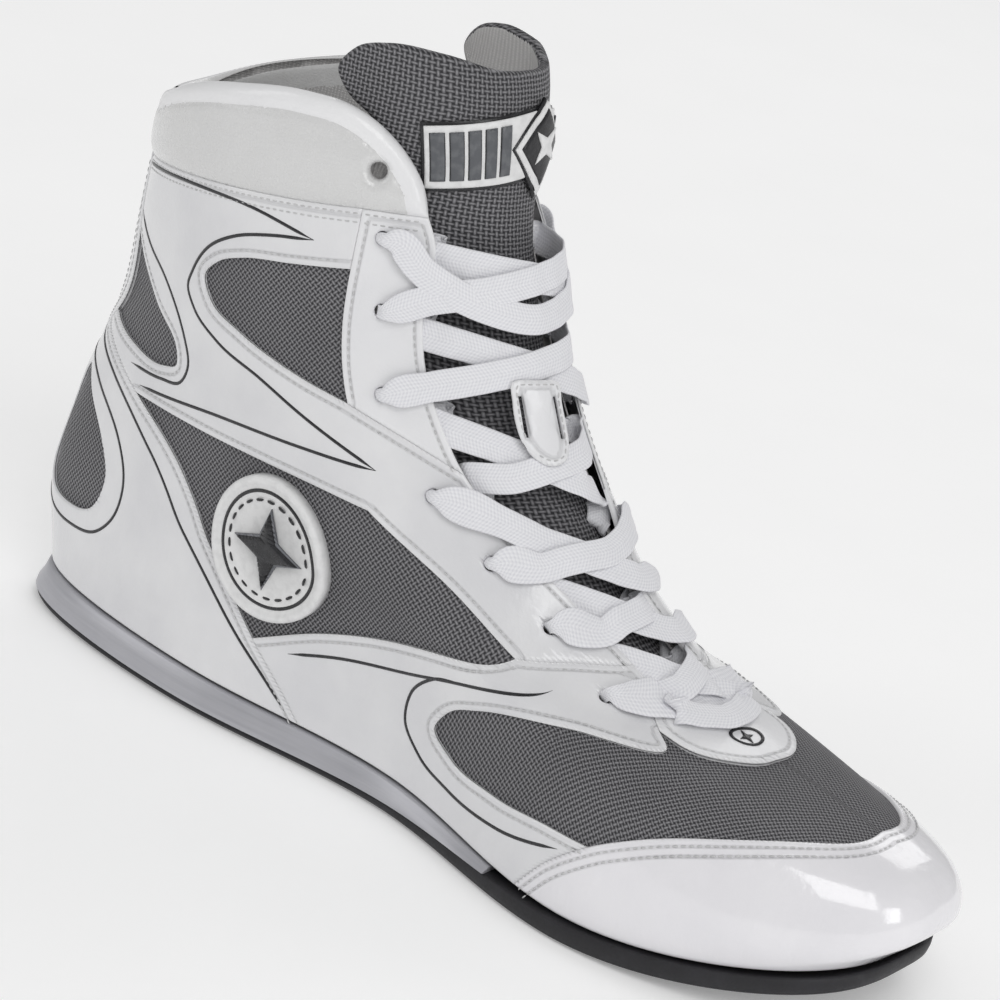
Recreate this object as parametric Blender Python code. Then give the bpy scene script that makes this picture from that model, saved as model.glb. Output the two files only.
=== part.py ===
"""A left-foot, high-top boxing boot in synthetic leather and mesh, as an assembly of separate pieces.

Run with: blender --background --python part.py

Frame: metres, +X towards the toe, +Y towards the boot's left (lateral) side, +Z up, the sole on Z = 0
and the origin under the middle of the boot. The shape is worked out in millimetres from the heel and
moved to that frame when each object is made.

The upper is a loft of near-level loops round the foot. A place on it is given as (angle, height):
the angle runs in degrees round the boot from 0 at the middle of the lacing, negative on the medial
side, to 180 at the middle of the heel. The height runs in percent from 0 at the feather line, where
the upper meets the sole, to 100 at the back of the collar. Every layer of the upper is a patch of
that surface, moved in or out along its normal, so layers lie one on another without touching.
"""

import math

import bmesh
import bpy
import numpy as np
from mathutils import Matrix, Vector
from mathutils.geometry import delaunay_2d_cdt

MM = 0.001

# Driving dimensions, in millimetres from the back of the heel.
FEATHER_LENGTH = 283.0
HEEL_START = 7.0
MIDDLE_X = 148.623
MIDDLE_Y = 0.039
TOE_SPRING = 12.0
SPRING_START = 215.0
FLEX_X = 200.5
FLEX_Z = 8.4
FLEX_GAP = 0.4
GAP = 0.3
SEAM_GAP = 0.2
BOARD_THICKNESS = 2.0
SOCKLINER_THICKNESS = 2.5
EYELET_RADIUS = 2.3
LINING_HOLE_RADIUS = 3.0
LACE_WIDTH = 7.5
LACE_THICKNESS = 0.9
NARROW = 2.6
TONGUE_SPLIT = 94.0
BADGE_CENTRE = (-102.0, 34.0)
BADGE_RADIUS = 22.0
STAR_REACH = 14.5
STAR_WAIST = 5.5
OVAL_HALF = (5.0, 3.6)
COLLAR_SEAM = 92.0

# Layers of the upper, as (outer, inner) distances from the outer surface.
OVERLAY = (0.0, -1.1)
MESH = (-1.4, -2.0)
STIFFENER = (-2.3, -3.1)
LINING = (-3.4, -4.2)
LACE_OVER = 0.9
LACE_CROSSING = 2.3
LACE_UNDER = -5.4
TONGUE = (-6.8, -9.6)
COLLAR_COVER = (0.8, -0.4)
COLLAR_FOAM = (-0.7, -3.1)
BADGE = (0.3, 1.6)
EMBLEM = (1.9, 2.9)
LABEL = (-6.5, -5.0)
LABEL_STUD = (-4.7, -3.7)

# The upper's outline in side view: (distance, height) of the front ridge and of the back.
FRONT_SHARES = (0, 10, 20, 30, 40, 50, 60, 70, 80, 90, 100, 115, 125)
FRONT_LINE = (
    (290, 17.5), (299, 27), (294, 40), (269, 48), (232, 54), (200, 69),
    (177, 90), (158, 113), (146, 136), (138, 155), (131, 172), (122, 196), (116, 212),
)
BACK_SHARES = (0, 20, 40, 60, 80, 100, 115, 125)
BACK_LINE = ((7, 11), (-1.5, 38), (3, 68), (11.5, 96), (14, 125), (17.5, 157), (21, 181), (23.4, 197))

# Half widths at the sole, the instep and the collar, at five stations from heel to toe.
STATIONS = (0, 0.25, 0.5, 0.75, 1.0)
MEDIAL_WIDTHS = ((38, 36.5, 31, 51, 51), (34, 36, 37, 37, 30), (36, 41, 42, 40, 34))
LATERAL_WIDTHS = ((38, 37, 36, 51, 47), (34, 36, 37, 37, 30), (30, 33, 33, 31, 28))
ROUNDNESS_SHARES = (0, 30, 50, 115)
ROUNDNESS = (0.62, 0.80, 0.90, 0.80)

# How far the lacing and the back seam sit towards the medial side, in degrees.
TWIST_SHARES = (0, 40, 47, 55, 65, 75, 85, 95, 110)
FRONT_TWIST = (0, -4, -8, -18, -19, -15, -6, 2, 4)
BACK_TWIST_SHARES = (0, 45, 62, 85, 110)
BACK_TWIST = (0, 0, 22, 22, 8)

# The lattice that every layer is cut from.
LATTICE_ANGLES = (0, 5, 13, 24, 38, 54, 73, 95, 117, 138, 157, 170, 180)
LATTICE_HEIGHTS = (0, 8, 17, 26, 36, 46, 57, 68, 80, 92, 103, 113, 122)

# Seams and edges of the medial side, as (angle, height).
TOE_CAP_EDGE = ((-68, 0.5), (-66, 8), (-62, 13), (-57, 16.5), (-45, 21.5), (-27, 25.5), (0, 27.5))
HEEL_EDGE = ((-103, 0.5), (-110, 13), (-114.5, 26), (-119, 40), (-134, 46.5), (-152, 50), (-173, 52.5))
STAY_REAR = ((-61, COLLAR_SEAM), (-60.5, 83), (-60, 76), (-60, 66))
STAY_LOWER = ((-60, 66), (-45.2, 64.4), (-29, 62.2))
STAY_FRONT = (
    (-43, COLLAR_SEAM), (-39, 88), (-38.5, 82), (-36, 75), (-32.5, 68), (-29, 62.2), (-23, 58), (-18, 54), (-16.3, 50),
    (-16, 46.2), (-17, 43.5),
)
BAND_FRONT = ((-53, 41), (-56, 47.5), (-65, 53))
BAND_END = ((-53, 41), (-35, 44.2), (-16, 46.2))
TAB_SIDE = ((-17, 43.5), (-25, 41), (-31, 38))
TAB_FRONT = ((-31, 38), (-29, 36.2), (-15, 36.4), (0, 36.8))
TAB_REAR = ((-17, 43.5), (-13, 42.4), (-7, 41.9), (0, 41.8))
VAMP_WINDOW = ((-31, 38), (-35, 35.6), (-58, 31), (-77, 23.5), (-83, 19), (-85.5, 14.5), (-83, 11.5), (-76, 11), (-68, 12.5), (-62, 13))
QUARTER_LOWER = ((-53, 41), (-70, 34.5), (-86, 28), (-99, 21), (-110, 13))
ANKLE_LOWER = ((-65, 53), (-79, 52.4), (-95, 51.2), (-113, 49.2), (-134, 46.5))
ANKLE_WINDOW = ((-60.5, 83), (-78, 81.6), (-95, 80), (-105, 78), (-112, 74.8), (-109, 71.6), (-96, 69), (-78, 67), (-60, 66))
ACHILLES_WINDOW = ((-173, 55.5), (-150, 54.4), (-131, 55.4), (-126, 57.6), (-128, 60), (-145, 65), (-173, 74))
HEEL_WINDOW = ((-160, 42), (-148, 38), (-139, 32), (-136.5, 26), (-140, 19), (-150, 16), (-160, 17), (-166, 22), (-167, 31), (-164, 38))
COLLAR_RIM = ((-43, COLLAR_SEAM), (-46, 97), (-52, 102), (-59, 105.5), (-67, 107.6), (-78, 108.4), (-105, 107), (-136, 103.4), (-160, 100), (-180, 99))
BACK_STRIP_HALF = 7.0
BACK_STRIP_TOP = 88.0

# Mesh panels under the windows, each a little larger than its window.
VAMP_MESH = ((0, 39.3), (-30, 39), (-40, 37.6), (-60, 33.4), (-80, 25.4), (-87, 20), (-89.5, 14), (-86, 8), (-76, 7.6), (-66, 9.6), (-57, 12.8), (-45, 17.8), (-27, 22), (0, 24))
QUARTER_MESH = ((-106, 12), (-118, 25), (-123, 40), (-136, 44.4), (-132, 49), (-113, 51.6), (-95, 53.6), (-79, 54.6), (-63, 54.6), (-53, 51.4), (-49.5, 47), (-50, 39.4), (-68, 32), (-86, 25.4), (-98, 18))
ANKLE_MESH = ((-117, 73), (-113, 77), (-106, 80.4), (-95, 82.2), (-57.5, 85.4), (-56.5, 76), (-56.5, 64), (-78, 64.8), (-97, 66.8), (-112, 69.8))
ACHILLES_MESH = ((-177, 76.5), (-145, 67.6), (-124.5, 60.8), (-122.5, 57.2), (-129, 53.4), (-150, 52.2), (-177, 53.5))
HEEL_MESH = ((-160, 45), (-146, 40), (-136, 33), (-132.5, 26), (-137, 17), (-150, 13.5), (-162, 14.5), (-171, 20), (-172, 31), (-168, 40))

# Lining, stiffeners and tongue.
TOE_LINING_EDGE = ((-66, 2), (-60, 9.5), (-53, 16), (-41, 23), (-22, 28.5), (0, 30.5))
FLEX_REAR_EDGE = ((-71, 2), (-74, 10), (-72, 17), (-64, 25), (-46, 32), (-24, 35.8), (0, 36.8))
HEEL_LINING_ANGLE = 134.0
COUNTER_EDGE = ((112, 3), (115, 20), (124, 36), (150, 42), (180, 44))
PUFF_EDGE = ((-46, 3), (-46, 10), (-38, 16), (-20, 19.6), (0, 20.6))
TONGUE_EDGE = ((0, 40), (-16, 40.6), (-24, 45), (-30, 52), (-40, 61), (-47, 72), (-51, 84), (-52, TONGUE_SPLIT))
TONGUE_TOP_EDGE = ((-52, TONGUE_SPLIT), (-55, 104), (-55, 112), (-48, 118), (-36, 119), (-18, 116), (0, 115))

# Lacing: the eyelets from the toe end up, and the spare one in the collar.
EYELETS = ((-36, 40.8), (-34, 47.6), (-34.5, 53), (-41, 58.6), (-48.5, 68.6), (-49.5, 78.4), (-54, 88.2))
COLLAR_EYELET = (-58, 98)


def blended(keys, values, where):
    """A smooth curve through values at keys, read at where, with no overshoot past the ends."""
    keys = np.asarray(keys, float)
    values = np.asarray(values, float)
    table = values.reshape(len(keys), -1)
    steps = np.diff(keys)
    slopes = np.diff(table, axis=0) / steps[:, None]
    tangents = np.empty_like(table)
    weights = (steps[1:] + steps[:-1])[:, None]
    tangents[1:-1] = (slopes[:-1] * steps[1:, None] + slopes[1:] * steps[:-1, None]) / weights
    tangents[0] = slopes[0]
    tangents[-1] = slopes[-1]
    where = np.clip(np.asarray(where, float), keys[0], keys[-1])
    cell = np.clip(np.searchsorted(keys, where, side="right") - 1, 0, len(keys) - 2)
    step = steps[cell][..., None]
    u = ((where - keys[cell]) / steps[cell])[..., None]
    result = (
        (2 * u**3 - 3 * u**2 + 1) * table[cell]
        + (u**3 - 2 * u**2 + u) * step * tangents[cell]
        + (3 * u**2 - 2 * u**3) * table[cell + 1]
        + (u**3 - u**2) * step * tangents[cell + 1]
    )
    return result[..., 0] if values.ndim == 1 else result


def toe_lift(x):
    """How far the sole curls up from the ground towards the toe."""
    return TOE_SPRING * np.clip((np.asarray(x, float) - SPRING_START) / 75.0, 0, None) ** 2


def outsole_top(x):
    """Height of the rubber outsole's top face."""
    return blended((0, 150, 200, 290), (2.6, 2.9, 5.0, 5.2), x) + toe_lift(x)


def feather_height(x):
    """Height of the feather line, where the upper's walls begin."""
    return outsole_top(x) + blended((0, 80, 150, 205, 290), (8.2, 7.8, 5.6, 0.6, 0.6), x)


def half_width(theta, height):
    """Half width of the loop before its ends are rounded, on the side that theta is on."""
    share = np.asarray(height, float) / 100
    along = (1 + np.cos(theta)) / 2
    weights = np.stack([
        np.clip(1 - share / 0.5, 0, 1),
        np.clip(1 - abs(share - 0.5) / 0.5, 0, 1),
        np.clip((share - 0.5) / 0.5, 0, 1),
    ], -1)
    weights = weights**2 * (3 - 2 * weights)
    weights /= weights.sum(-1, keepdims=True)
    medial = np.stack([blended(STATIONS, row, along) for row in MEDIAL_WIDTHS], -1)
    lateral = np.stack([blended(STATIONS, row, along) for row in LATERAL_WIDTHS], -1)
    chosen = np.where((np.sin(theta) < 0)[..., None], medial, lateral)
    return (chosen * weights).sum(-1)


def surface(angle, height):
    """Outer surface of the upper at (angle, height), in millimetres from the heel."""
    angle, height = np.broadcast_arrays(np.asarray(angle, float), np.asarray(height, float))
    turn = np.cos(np.radians(angle))
    front_shift = blended(TWIST_SHARES, FRONT_TWIST, height) * ((1 + turn) / 2) ** 2
    back_shift = blended(BACK_TWIST_SHARES, BACK_TWIST, height) * ((1 - turn) / 2) ** 4
    theta = np.radians(angle + front_shift + back_shift)
    front = blended(FRONT_SHARES, FRONT_LINE, height)
    back = blended(BACK_SHARES, BACK_LINE, height)
    along = (1 + np.cos(theta)) / 2
    x = back[..., 0] + (front[..., 0] - back[..., 0]) * along
    z = back[..., 1] + (front[..., 1] - back[..., 1]) * along
    level = BACK_LINE[0][1] + (FRONT_LINE[0][1] - BACK_LINE[0][1]) * along
    z = z + (feather_height(x) - level) * np.clip(1 - height / 35, 0, 1) ** 2
    bend = np.abs(np.sin(theta)) ** blended(ROUNDNESS_SHARES, ROUNDNESS, height)
    y = half_width(theta, height) * np.sign(np.sin(theta)) * bend
    return np.stack([x, y, z], -1)


class Lattice:
    """The upper's surface as flat triangles, with a normal at each node."""

    def __init__(self):
        half = np.array(LATTICE_ANGLES, float)
        self.angles = np.concatenate([-half[::-1], half[1:]])
        self.heights = np.array(LATTICE_HEIGHTS, float)
        self.nodes = surface(self.angles[:, None], self.heights[None, :])
        self.normals = self.node_normals()

    def node_normals(self):
        """Area-weighted normals, pointing out of the boot, joined across the heel seam."""
        nodes = self.nodes
        normals = np.zeros_like(nodes)
        a, b, c, d = nodes[:-1, :-1], nodes[1:, :-1], nodes[1:, 1:], nodes[:-1, 1:]
        lower = np.cross(b - a, c - a)
        upper = np.cross(c - a, d - a)
        normals[:-1, :-1] += lower + upper
        normals[1:, :-1] += lower
        normals[1:, 1:] += lower + upper
        normals[:-1, 1:] += upper
        seam = normals[0] + normals[-1]
        normals[0] = seam
        normals[-1] = seam
        normals /= np.linalg.norm(normals, axis=-1, keepdims=True)
        return normals

    def place(self, angle, height, offset):
        """The point at (angle, height), moved out by offset along the surface's normal."""
        angle = (angle + 180.0) % 360.0 - 180.0
        i = int(np.clip(np.searchsorted(self.angles, angle, side="right") - 1, 0, len(self.angles) - 2))
        j = int(np.clip(np.searchsorted(self.heights, height, side="right") - 1, 0, len(self.heights) - 2))
        u = (angle - self.angles[i]) / (self.angles[i + 1] - self.angles[i])
        v = (height - self.heights[j]) / (self.heights[j + 1] - self.heights[j])
        corners = self.nodes + self.normals * offset
        if u >= v:
            return corners[i, j] * (1 - u) + corners[i + 1, j] * (u - v) + corners[i + 1, j + 1] * v
        return corners[i, j] * (1 - v) + corners[i, j + 1] * (v - u) + corners[i + 1, j + 1] * u

    def scale_at(self, angle, height):
        """Change of place for one degree and for one percent of height."""
        across = (self.place(angle + 1, height, 0) - self.place(angle - 1, height, 0)) / 2
        up = (self.place(angle, height + 1, 0) - self.place(angle, height - 1, 0)) / 2
        return across, up

    def lines(self, low, high):
        """Lattice lines and diagonals over a region, as pairs of (angle, height) ends."""
        turn = np.concatenate([self.angles - 360, self.angles[1:], self.angles[1:] + 360])
        first = np.searchsorted(turn, low[0], side="right") - 1
        last = np.searchsorted(turn, high[0], side="left")
        columns = turn[max(first, 0):last + 1]
        floor = np.searchsorted(self.heights, low[1], side="right") - 1
        top = np.searchsorted(self.heights, high[1], side="left")
        rows = self.heights[max(floor, 0):top + 1]
        found = []
        for a in columns:
            found += [((a, r0), (a, r1)) for r0, r1 in zip(rows[:-1], rows[1:])]
        for r in rows:
            found += [((a0, r), (a1, r)) for a0, a1 in zip(columns[:-1], columns[1:])]
        for a0, a1 in zip(columns[:-1], columns[1:]):
            found += [((a0, r0), (a1, r1)) for r0, r1 in zip(rows[:-1], rows[1:])]
        return found


LATTICE = Lattice()


# Outlines


def smooth_line(points, cuts=2):
    """A smooth open line through the points, with cuts steps between each two."""
    points = np.asarray(points, float)
    lengths = np.linalg.norm(np.diff(points * (1.0, 3.0), axis=0), axis=1)
    keys = np.concatenate([[0], np.cumsum(lengths)])
    where = np.concatenate([np.linspace(keys[k], keys[k + 1], cuts, endpoint=False) for k in range(len(keys) - 1)])
    return [tuple(p) for p in blended(keys, points, np.append(where, keys[-1]))]


def smooth_loop(points, cuts=2):
    """A smooth closed outline through the points."""
    points = list(points)
    padded = points[-3:] + points + points[:3]
    line = smooth_line(padded, cuts)
    return line[3 * cuts:(3 + len(points)) * cuts]


def joined(*lines):
    """One closed outline from lines whose ends meet."""
    outline = []
    for line in lines:
        outline += [p for p in line if not outline or math.dist(p, outline[-1]) > 1e-6]
    if math.dist(outline[0], outline[-1]) < 1e-6:
        outline.pop()
    return outline


def corner(line, point):
    """Index on a smooth line of one of the points that it was drawn through."""
    return min(range(len(line)), key=lambda k: math.dist(line[k], point))


def back(line):
    return list(reversed(line))


def mirrored(outline):
    """The same outline on the other side of the boot."""
    return [(-a, h) for a, h in outline]


def round_trip(half):
    """A closed outline from its medial half, which starts and ends at angle 0."""
    return joined(half, back(mirrored(half)))


def straight(a0, h0, a1, h1, pieces):
    """Points along a straight line of the pattern."""
    return [(a0 + (a1 - a0) * k / pieces, h0 + (h1 - h0) * k / pieces) for k in range(pieces + 1)]


def inset(outline, distance):
    """The outline drawn in by a distance in millimetres."""
    count = len(outline)
    area = sum(outline[k - 1][0] * outline[k][1] - outline[k][0] * outline[k - 1][1] for k in range(count))
    side = 1.0 if area > 0 else -1.0
    moved = []
    for k, (a, h) in enumerate(outline):
        across, up = LATTICE.scale_at(a, min(max(h, 1), 115))
        wide, tall = np.linalg.norm(across), np.linalg.norm(up)
        before, after = outline[k - 1], outline[(k + 1) % count]
        d0 = np.array([(a - before[0]) * wide, (h - before[1]) * tall])
        d1 = np.array([(after[0] - a) * wide, (after[1] - h) * tall])
        d0 /= np.linalg.norm(d0) + 1e-9
        d1 /= np.linalg.norm(d1) + 1e-9
        n0 = np.array([-d0[1], d0[0]]) * side
        n1 = np.array([-d1[1], d1[0]]) * side
        mean = n0 + n1
        mean *= distance / max(float(mean @ n0), 0.5)
        moved.append((a + mean[0] / wide, h + mean[1] / tall))
    return moved


def round_hole(angle, height, radius, sides=8):
    """A round hole's outline, true on the curved surface."""
    across, up = LATTICE.scale_at(angle, height)
    wide = np.linalg.norm(across)
    lean = float(across @ up) / wide
    tall = math.sqrt(float(up @ up) - lean**2)
    found = []
    for k in range(sides):
        turn = 2 * math.pi * (k + 0.5) / sides
        dh = radius * math.sin(turn) / tall
        da = (radius * math.cos(turn) - dh * lean) / wide
        found.append((angle + da, height + dh))
    return found


def walked(angle, height, along, rise, steps=8):
    """The place reached from (angle, height) by going millimetres forward and up over the surface."""
    across, up = LATTICE.scale_at(angle, height)
    normal = np.cross(across, up)
    upward = np.array([0, 0, 1.0]) - normal * normal[2] / (normal @ normal)
    upward /= np.linalg.norm(upward)
    forward = np.cross(upward, normal)
    forward *= np.sign(forward[0]) / np.linalg.norm(forward)
    step = (forward * along + upward * rise) / steps
    for _ in range(steps):
        pair = np.stack(LATTICE.scale_at(angle, height), axis=1)
        turn, climb = np.linalg.lstsq(pair, step, rcond=None)[0]
        angle, height = angle + turn, height + climb
    return (float(angle), float(height))


def inside(outline, point):
    """Whether a point is inside a closed outline."""
    found = False
    x, y = point
    for k in range(len(outline)):
        x0, y0 = outline[k - 1]
        x1, y1 = outline[k]
        if (y0 > y) != (y1 > y) and x < x0 + (y - y0) * (x1 - x0) / (y1 - y0):
            found = not found
    return found


# Objects


def new_collection(name):
    collection = bpy.data.collections.new(name)
    bpy.context.scene.collection.children.link(collection)
    return collection


def material(name, colour, roughness, metallic=0.0):
    made = bpy.data.materials.new(name)
    made.use_nodes = True
    shader = made.node_tree.nodes["Principled BSDF"]
    shader.inputs["Base Color"].default_value = (*colour, 1.0)
    shader.inputs["Roughness"].default_value = roughness
    shader.inputs["Metallic"].default_value = metallic
    made.diffuse_color = (*colour, 1.0)
    return made


FINISHES = {
    "patent": ((0.56, 0.56, 0.58), 0.22, 0.25),
    "white_gloss": ((0.80, 0.79, 0.82), 0.18, 0.0),
    "white_matt": ((0.70, 0.70, 0.73), 0.55, 0.0),
    "silver": ((0.50, 0.50, 0.50), 0.32, 0.35),
    "band": ((0.36, 0.36, 0.39), 0.35, 0.2),
    "rubber": ((0.012, 0.011, 0.014), 0.6, 0.0),
    "mesh": ((0.09, 0.088, 0.095), 0.85, 0.0),
    "lining": ((0.42, 0.42, 0.43), 0.9, 0.0),
    "foam": ((0.50, 0.49, 0.46), 0.95, 0.0),
    "board": ((0.38, 0.30, 0.20), 0.9, 0.0),
    "stiffener": ((0.62, 0.60, 0.55), 0.6, 0.0),
    "lace": ((0.68, 0.68, 0.74), 0.8, 0.0),
    "black": ((0.015, 0.015, 0.017), 0.4, 0.0),
    "emblem_white": ((0.75, 0.75, 0.75), 0.4, 0.0),
}


def add_object(name, bm, finish, collection):
    """An object from a bmesh in millimetres from the heel, with its origin at the middle of its box."""
    bmesh.ops.triangulate(bm, faces=[f for f in bm.faces if len(f.verts) > 4])
    bmesh.ops.recalc_face_normals(bm, faces=bm.faces)
    if bm.calc_volume(signed=True) < 0:
        bmesh.ops.reverse_faces(bm, faces=bm.faces)
    bmesh.ops.translate(bm, vec=(-MIDDLE_X, -MIDDLE_Y, 0), verts=bm.verts)
    bmesh.ops.scale(bm, vec=(MM, MM, MM), verts=bm.verts)
    corners = np.array([v.co for v in bm.verts])
    middle = Vector((corners.min(axis=0) + corners.max(axis=0)) / 2)
    bmesh.ops.translate(bm, vec=-middle, verts=bm.verts)
    mesh = bpy.data.meshes.new(name)
    bm.to_mesh(mesh)
    bm.free()
    mesh.shade_smooth()
    mesh.set_sharp_from_angle(angle=math.radians(40))
    colour, roughness, metallic = FINISHES[finish]
    mesh.materials.append(material(name, colour, roughness, metallic))
    made = bpy.data.objects.new(name, mesh)
    made.location = middle
    collection.objects.link(made)
    return made


def panel(name, outline, layer, finish, collection, holes=()):
    """A patch of the upper between two distances from its surface, cut to an outline."""
    loops = [outline, *holes]
    points, edges = [], []
    for loop in loops:
        start = len(points)
        points += [Vector(p) for p in loop]
        edges += [(start + k, start + (k + 1) % len(loop)) for k in range(len(loop))]
    low = (min(a for a, h in outline), min(h for a, h in outline))
    high = (max(a for a, h in outline), max(h for a, h in outline))
    for ends in LATTICE.lines(low, high):
        edges.append((len(points), len(points) + 1))
        points += [Vector(ends[0]), Vector(ends[1])]
    flat, _, faces, _, _, _ = delaunay_2d_cdt(points, edges, [], 0, 1e-5)
    kept = []
    for face in faces:
        middle = sum((flat[k] for k in face), Vector((0, 0))) / len(face)
        if inside(outline, middle) and not any(inside(hole, middle) for hole in holes):
            kept.append(face)
    bm = bmesh.new()
    used = sorted({k for face in kept for k in face})
    outer = {k: bm.verts.new(LATTICE.place(flat[k].x, flat[k].y, layer[0])) for k in used}
    patch = [bm.faces.new([outer[k] for k in face]) for face in kept]
    grown = bmesh.ops.extrude_face_region(bm, geom=patch, use_keep_orig=True)["geom"]
    lifted = [v for v in grown if isinstance(v, bmesh.types.BMVert)]
    places = {tuple(round(c, 5) for c in v.co): k for k, v in outer.items()}
    for vert in lifted:
        k = places[tuple(round(c, 5) for c in vert.co)]
        vert.co = LATTICE.place(flat[k].x, flat[k].y, layer[1])
    return add_object(name, bm, finish, collection)


def both_sides(name, outline, layer, finish, collection, holes=(), gap=SEAM_GAP):
    """The same panel on the medial and the lateral side."""
    drawn = inset(outline, gap) if gap else list(outline)
    made = [panel(f"{name}_medial", drawn, layer, finish, collection, holes)]
    other_holes = [mirrored(hole) for hole in holes]
    made.append(panel(f"{name}_lateral", mirrored(drawn), layer, finish, collection, other_holes))
    return made


# Sole


def sole_point(theta, side, spread, level):
    """A point on the sole's outline, spread out by a distance, at a height given by a function of x."""
    x = HEEL_START + FEATHER_LENGTH / 2 + (FEATHER_LENGTH / 2 + spread) * math.cos(theta)
    bend = abs(math.sin(theta))
    width = float(half_width(np.array(side * theta), 0.0)) * bend ** ROUNDNESS[0] + spread * bend**0.3
    return Vector((x, side * width, float(level(x))))


def turn_at(x, spread):
    """The angle at which the sole's outline reaches x."""
    share = (x - HEEL_START - FEATHER_LENGTH / 2) / (FEATHER_LENGTH / 2 + spread)
    return math.acos(min(max(share, -1.0), 1.0))


def sole_plate(name, levels, x_from, x_to, finish, collection, steps=12):
    """A plate of the sole: rings of (spread, height function) from the bottom up, between two x."""
    bm = bmesh.new()
    rings = []
    for spread, level in levels:
        start = turn_at(x_from, spread) if x_from is not None else math.pi
        end = turn_at(x_to, spread) if x_to is not None else 0.0
        shares = [(1 - math.cos(math.pi * k / steps)) / 2 for k in range(steps + 1)]
        turns = [start + (end - start) * (0.35 * s + 0.65 * k / steps) for k, s in enumerate(shares)]
        medial = [bm.verts.new(sole_point(t, -1, spread, level)) for t in turns]
        tip_from, tip_to = x_from is None, x_to is None
        lateral = []
        for k, t in enumerate(turns):
            at_tip = (k == 0 and tip_from) or (k == steps and tip_to)
            lateral.append(medial[k] if at_tip else bm.verts.new(sole_point(t, 1, spread, level)))
        rings.append((medial, lateral))
    for k in range(steps):
        for medial, lateral in (rings[0], rings[-1]):
            corners = [medial[k], medial[k + 1], lateral[k + 1], lateral[k]]
            bm.faces.new(list(dict.fromkeys(corners)))
        for low, high in zip(rings[:-1], rings[1:]):
            for lower, upper in zip(low, high):
                bm.faces.new([lower[k], lower[k + 1], upper[k + 1], upper[k]])
    for end, cut in ((0, x_from), (steps, x_to)):
        if cut is not None:
            for low, high in zip(rings[:-1], rings[1:]):
                bm.faces.new([low[0][end], low[1][end], high[1][end], high[0][end]])
    return add_object(name, bm, finish, collection)


def make_sole(parts):
    ground = toe_lift
    sole = ((0.4, lambda x: ground(x)), (1.6, lambda x: ground(x) + 1.0), (2.2, outsole_top))
    split = FLEX_GAP / 2
    made = {
        "outsole_rear": sole_plate("outsole_rear", sole, None, FLEX_X - split, "rubber", parts),
        "outsole_front": sole_plate("outsole_front", sole, FLEX_X + split, None, "rubber", parts),
    }
    wedge = (
        (3.0, lambda x: outsole_top(x) + GAP),
        (1.4, lambda x: (outsole_top(x) + feather_height(x)) / 2),
        (0.6, lambda x: feather_height(x) - 0.6),
    )
    made["midsole_wedge"] = sole_plate("midsole_wedge", wedge, None, 192.0, "band", parts)
    board = ((-5.8, lambda x: feather_height(x) + GAP), (-5.8, lambda x: feather_height(x) + GAP + BOARD_THICKNESS))
    made["insole_board_rear"] = sole_plate("insole_board_rear", board, None, FLEX_X - split, "board", parts)
    made["insole_board_front"] = sole_plate("insole_board_front", board, FLEX_X + split, None, "board", parts)
    base = 2 * GAP + BOARD_THICKNESS
    liner = (
        (-8.2, lambda x: feather_height(x) + base),
        (-8.2, lambda x: feather_height(x) + base + SOCKLINER_THICKNESS),
    )
    made["sockliner"] = sole_plate("sockliner", liner, None, None, "foam", parts, steps=16)
    return made


# Upper


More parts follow.
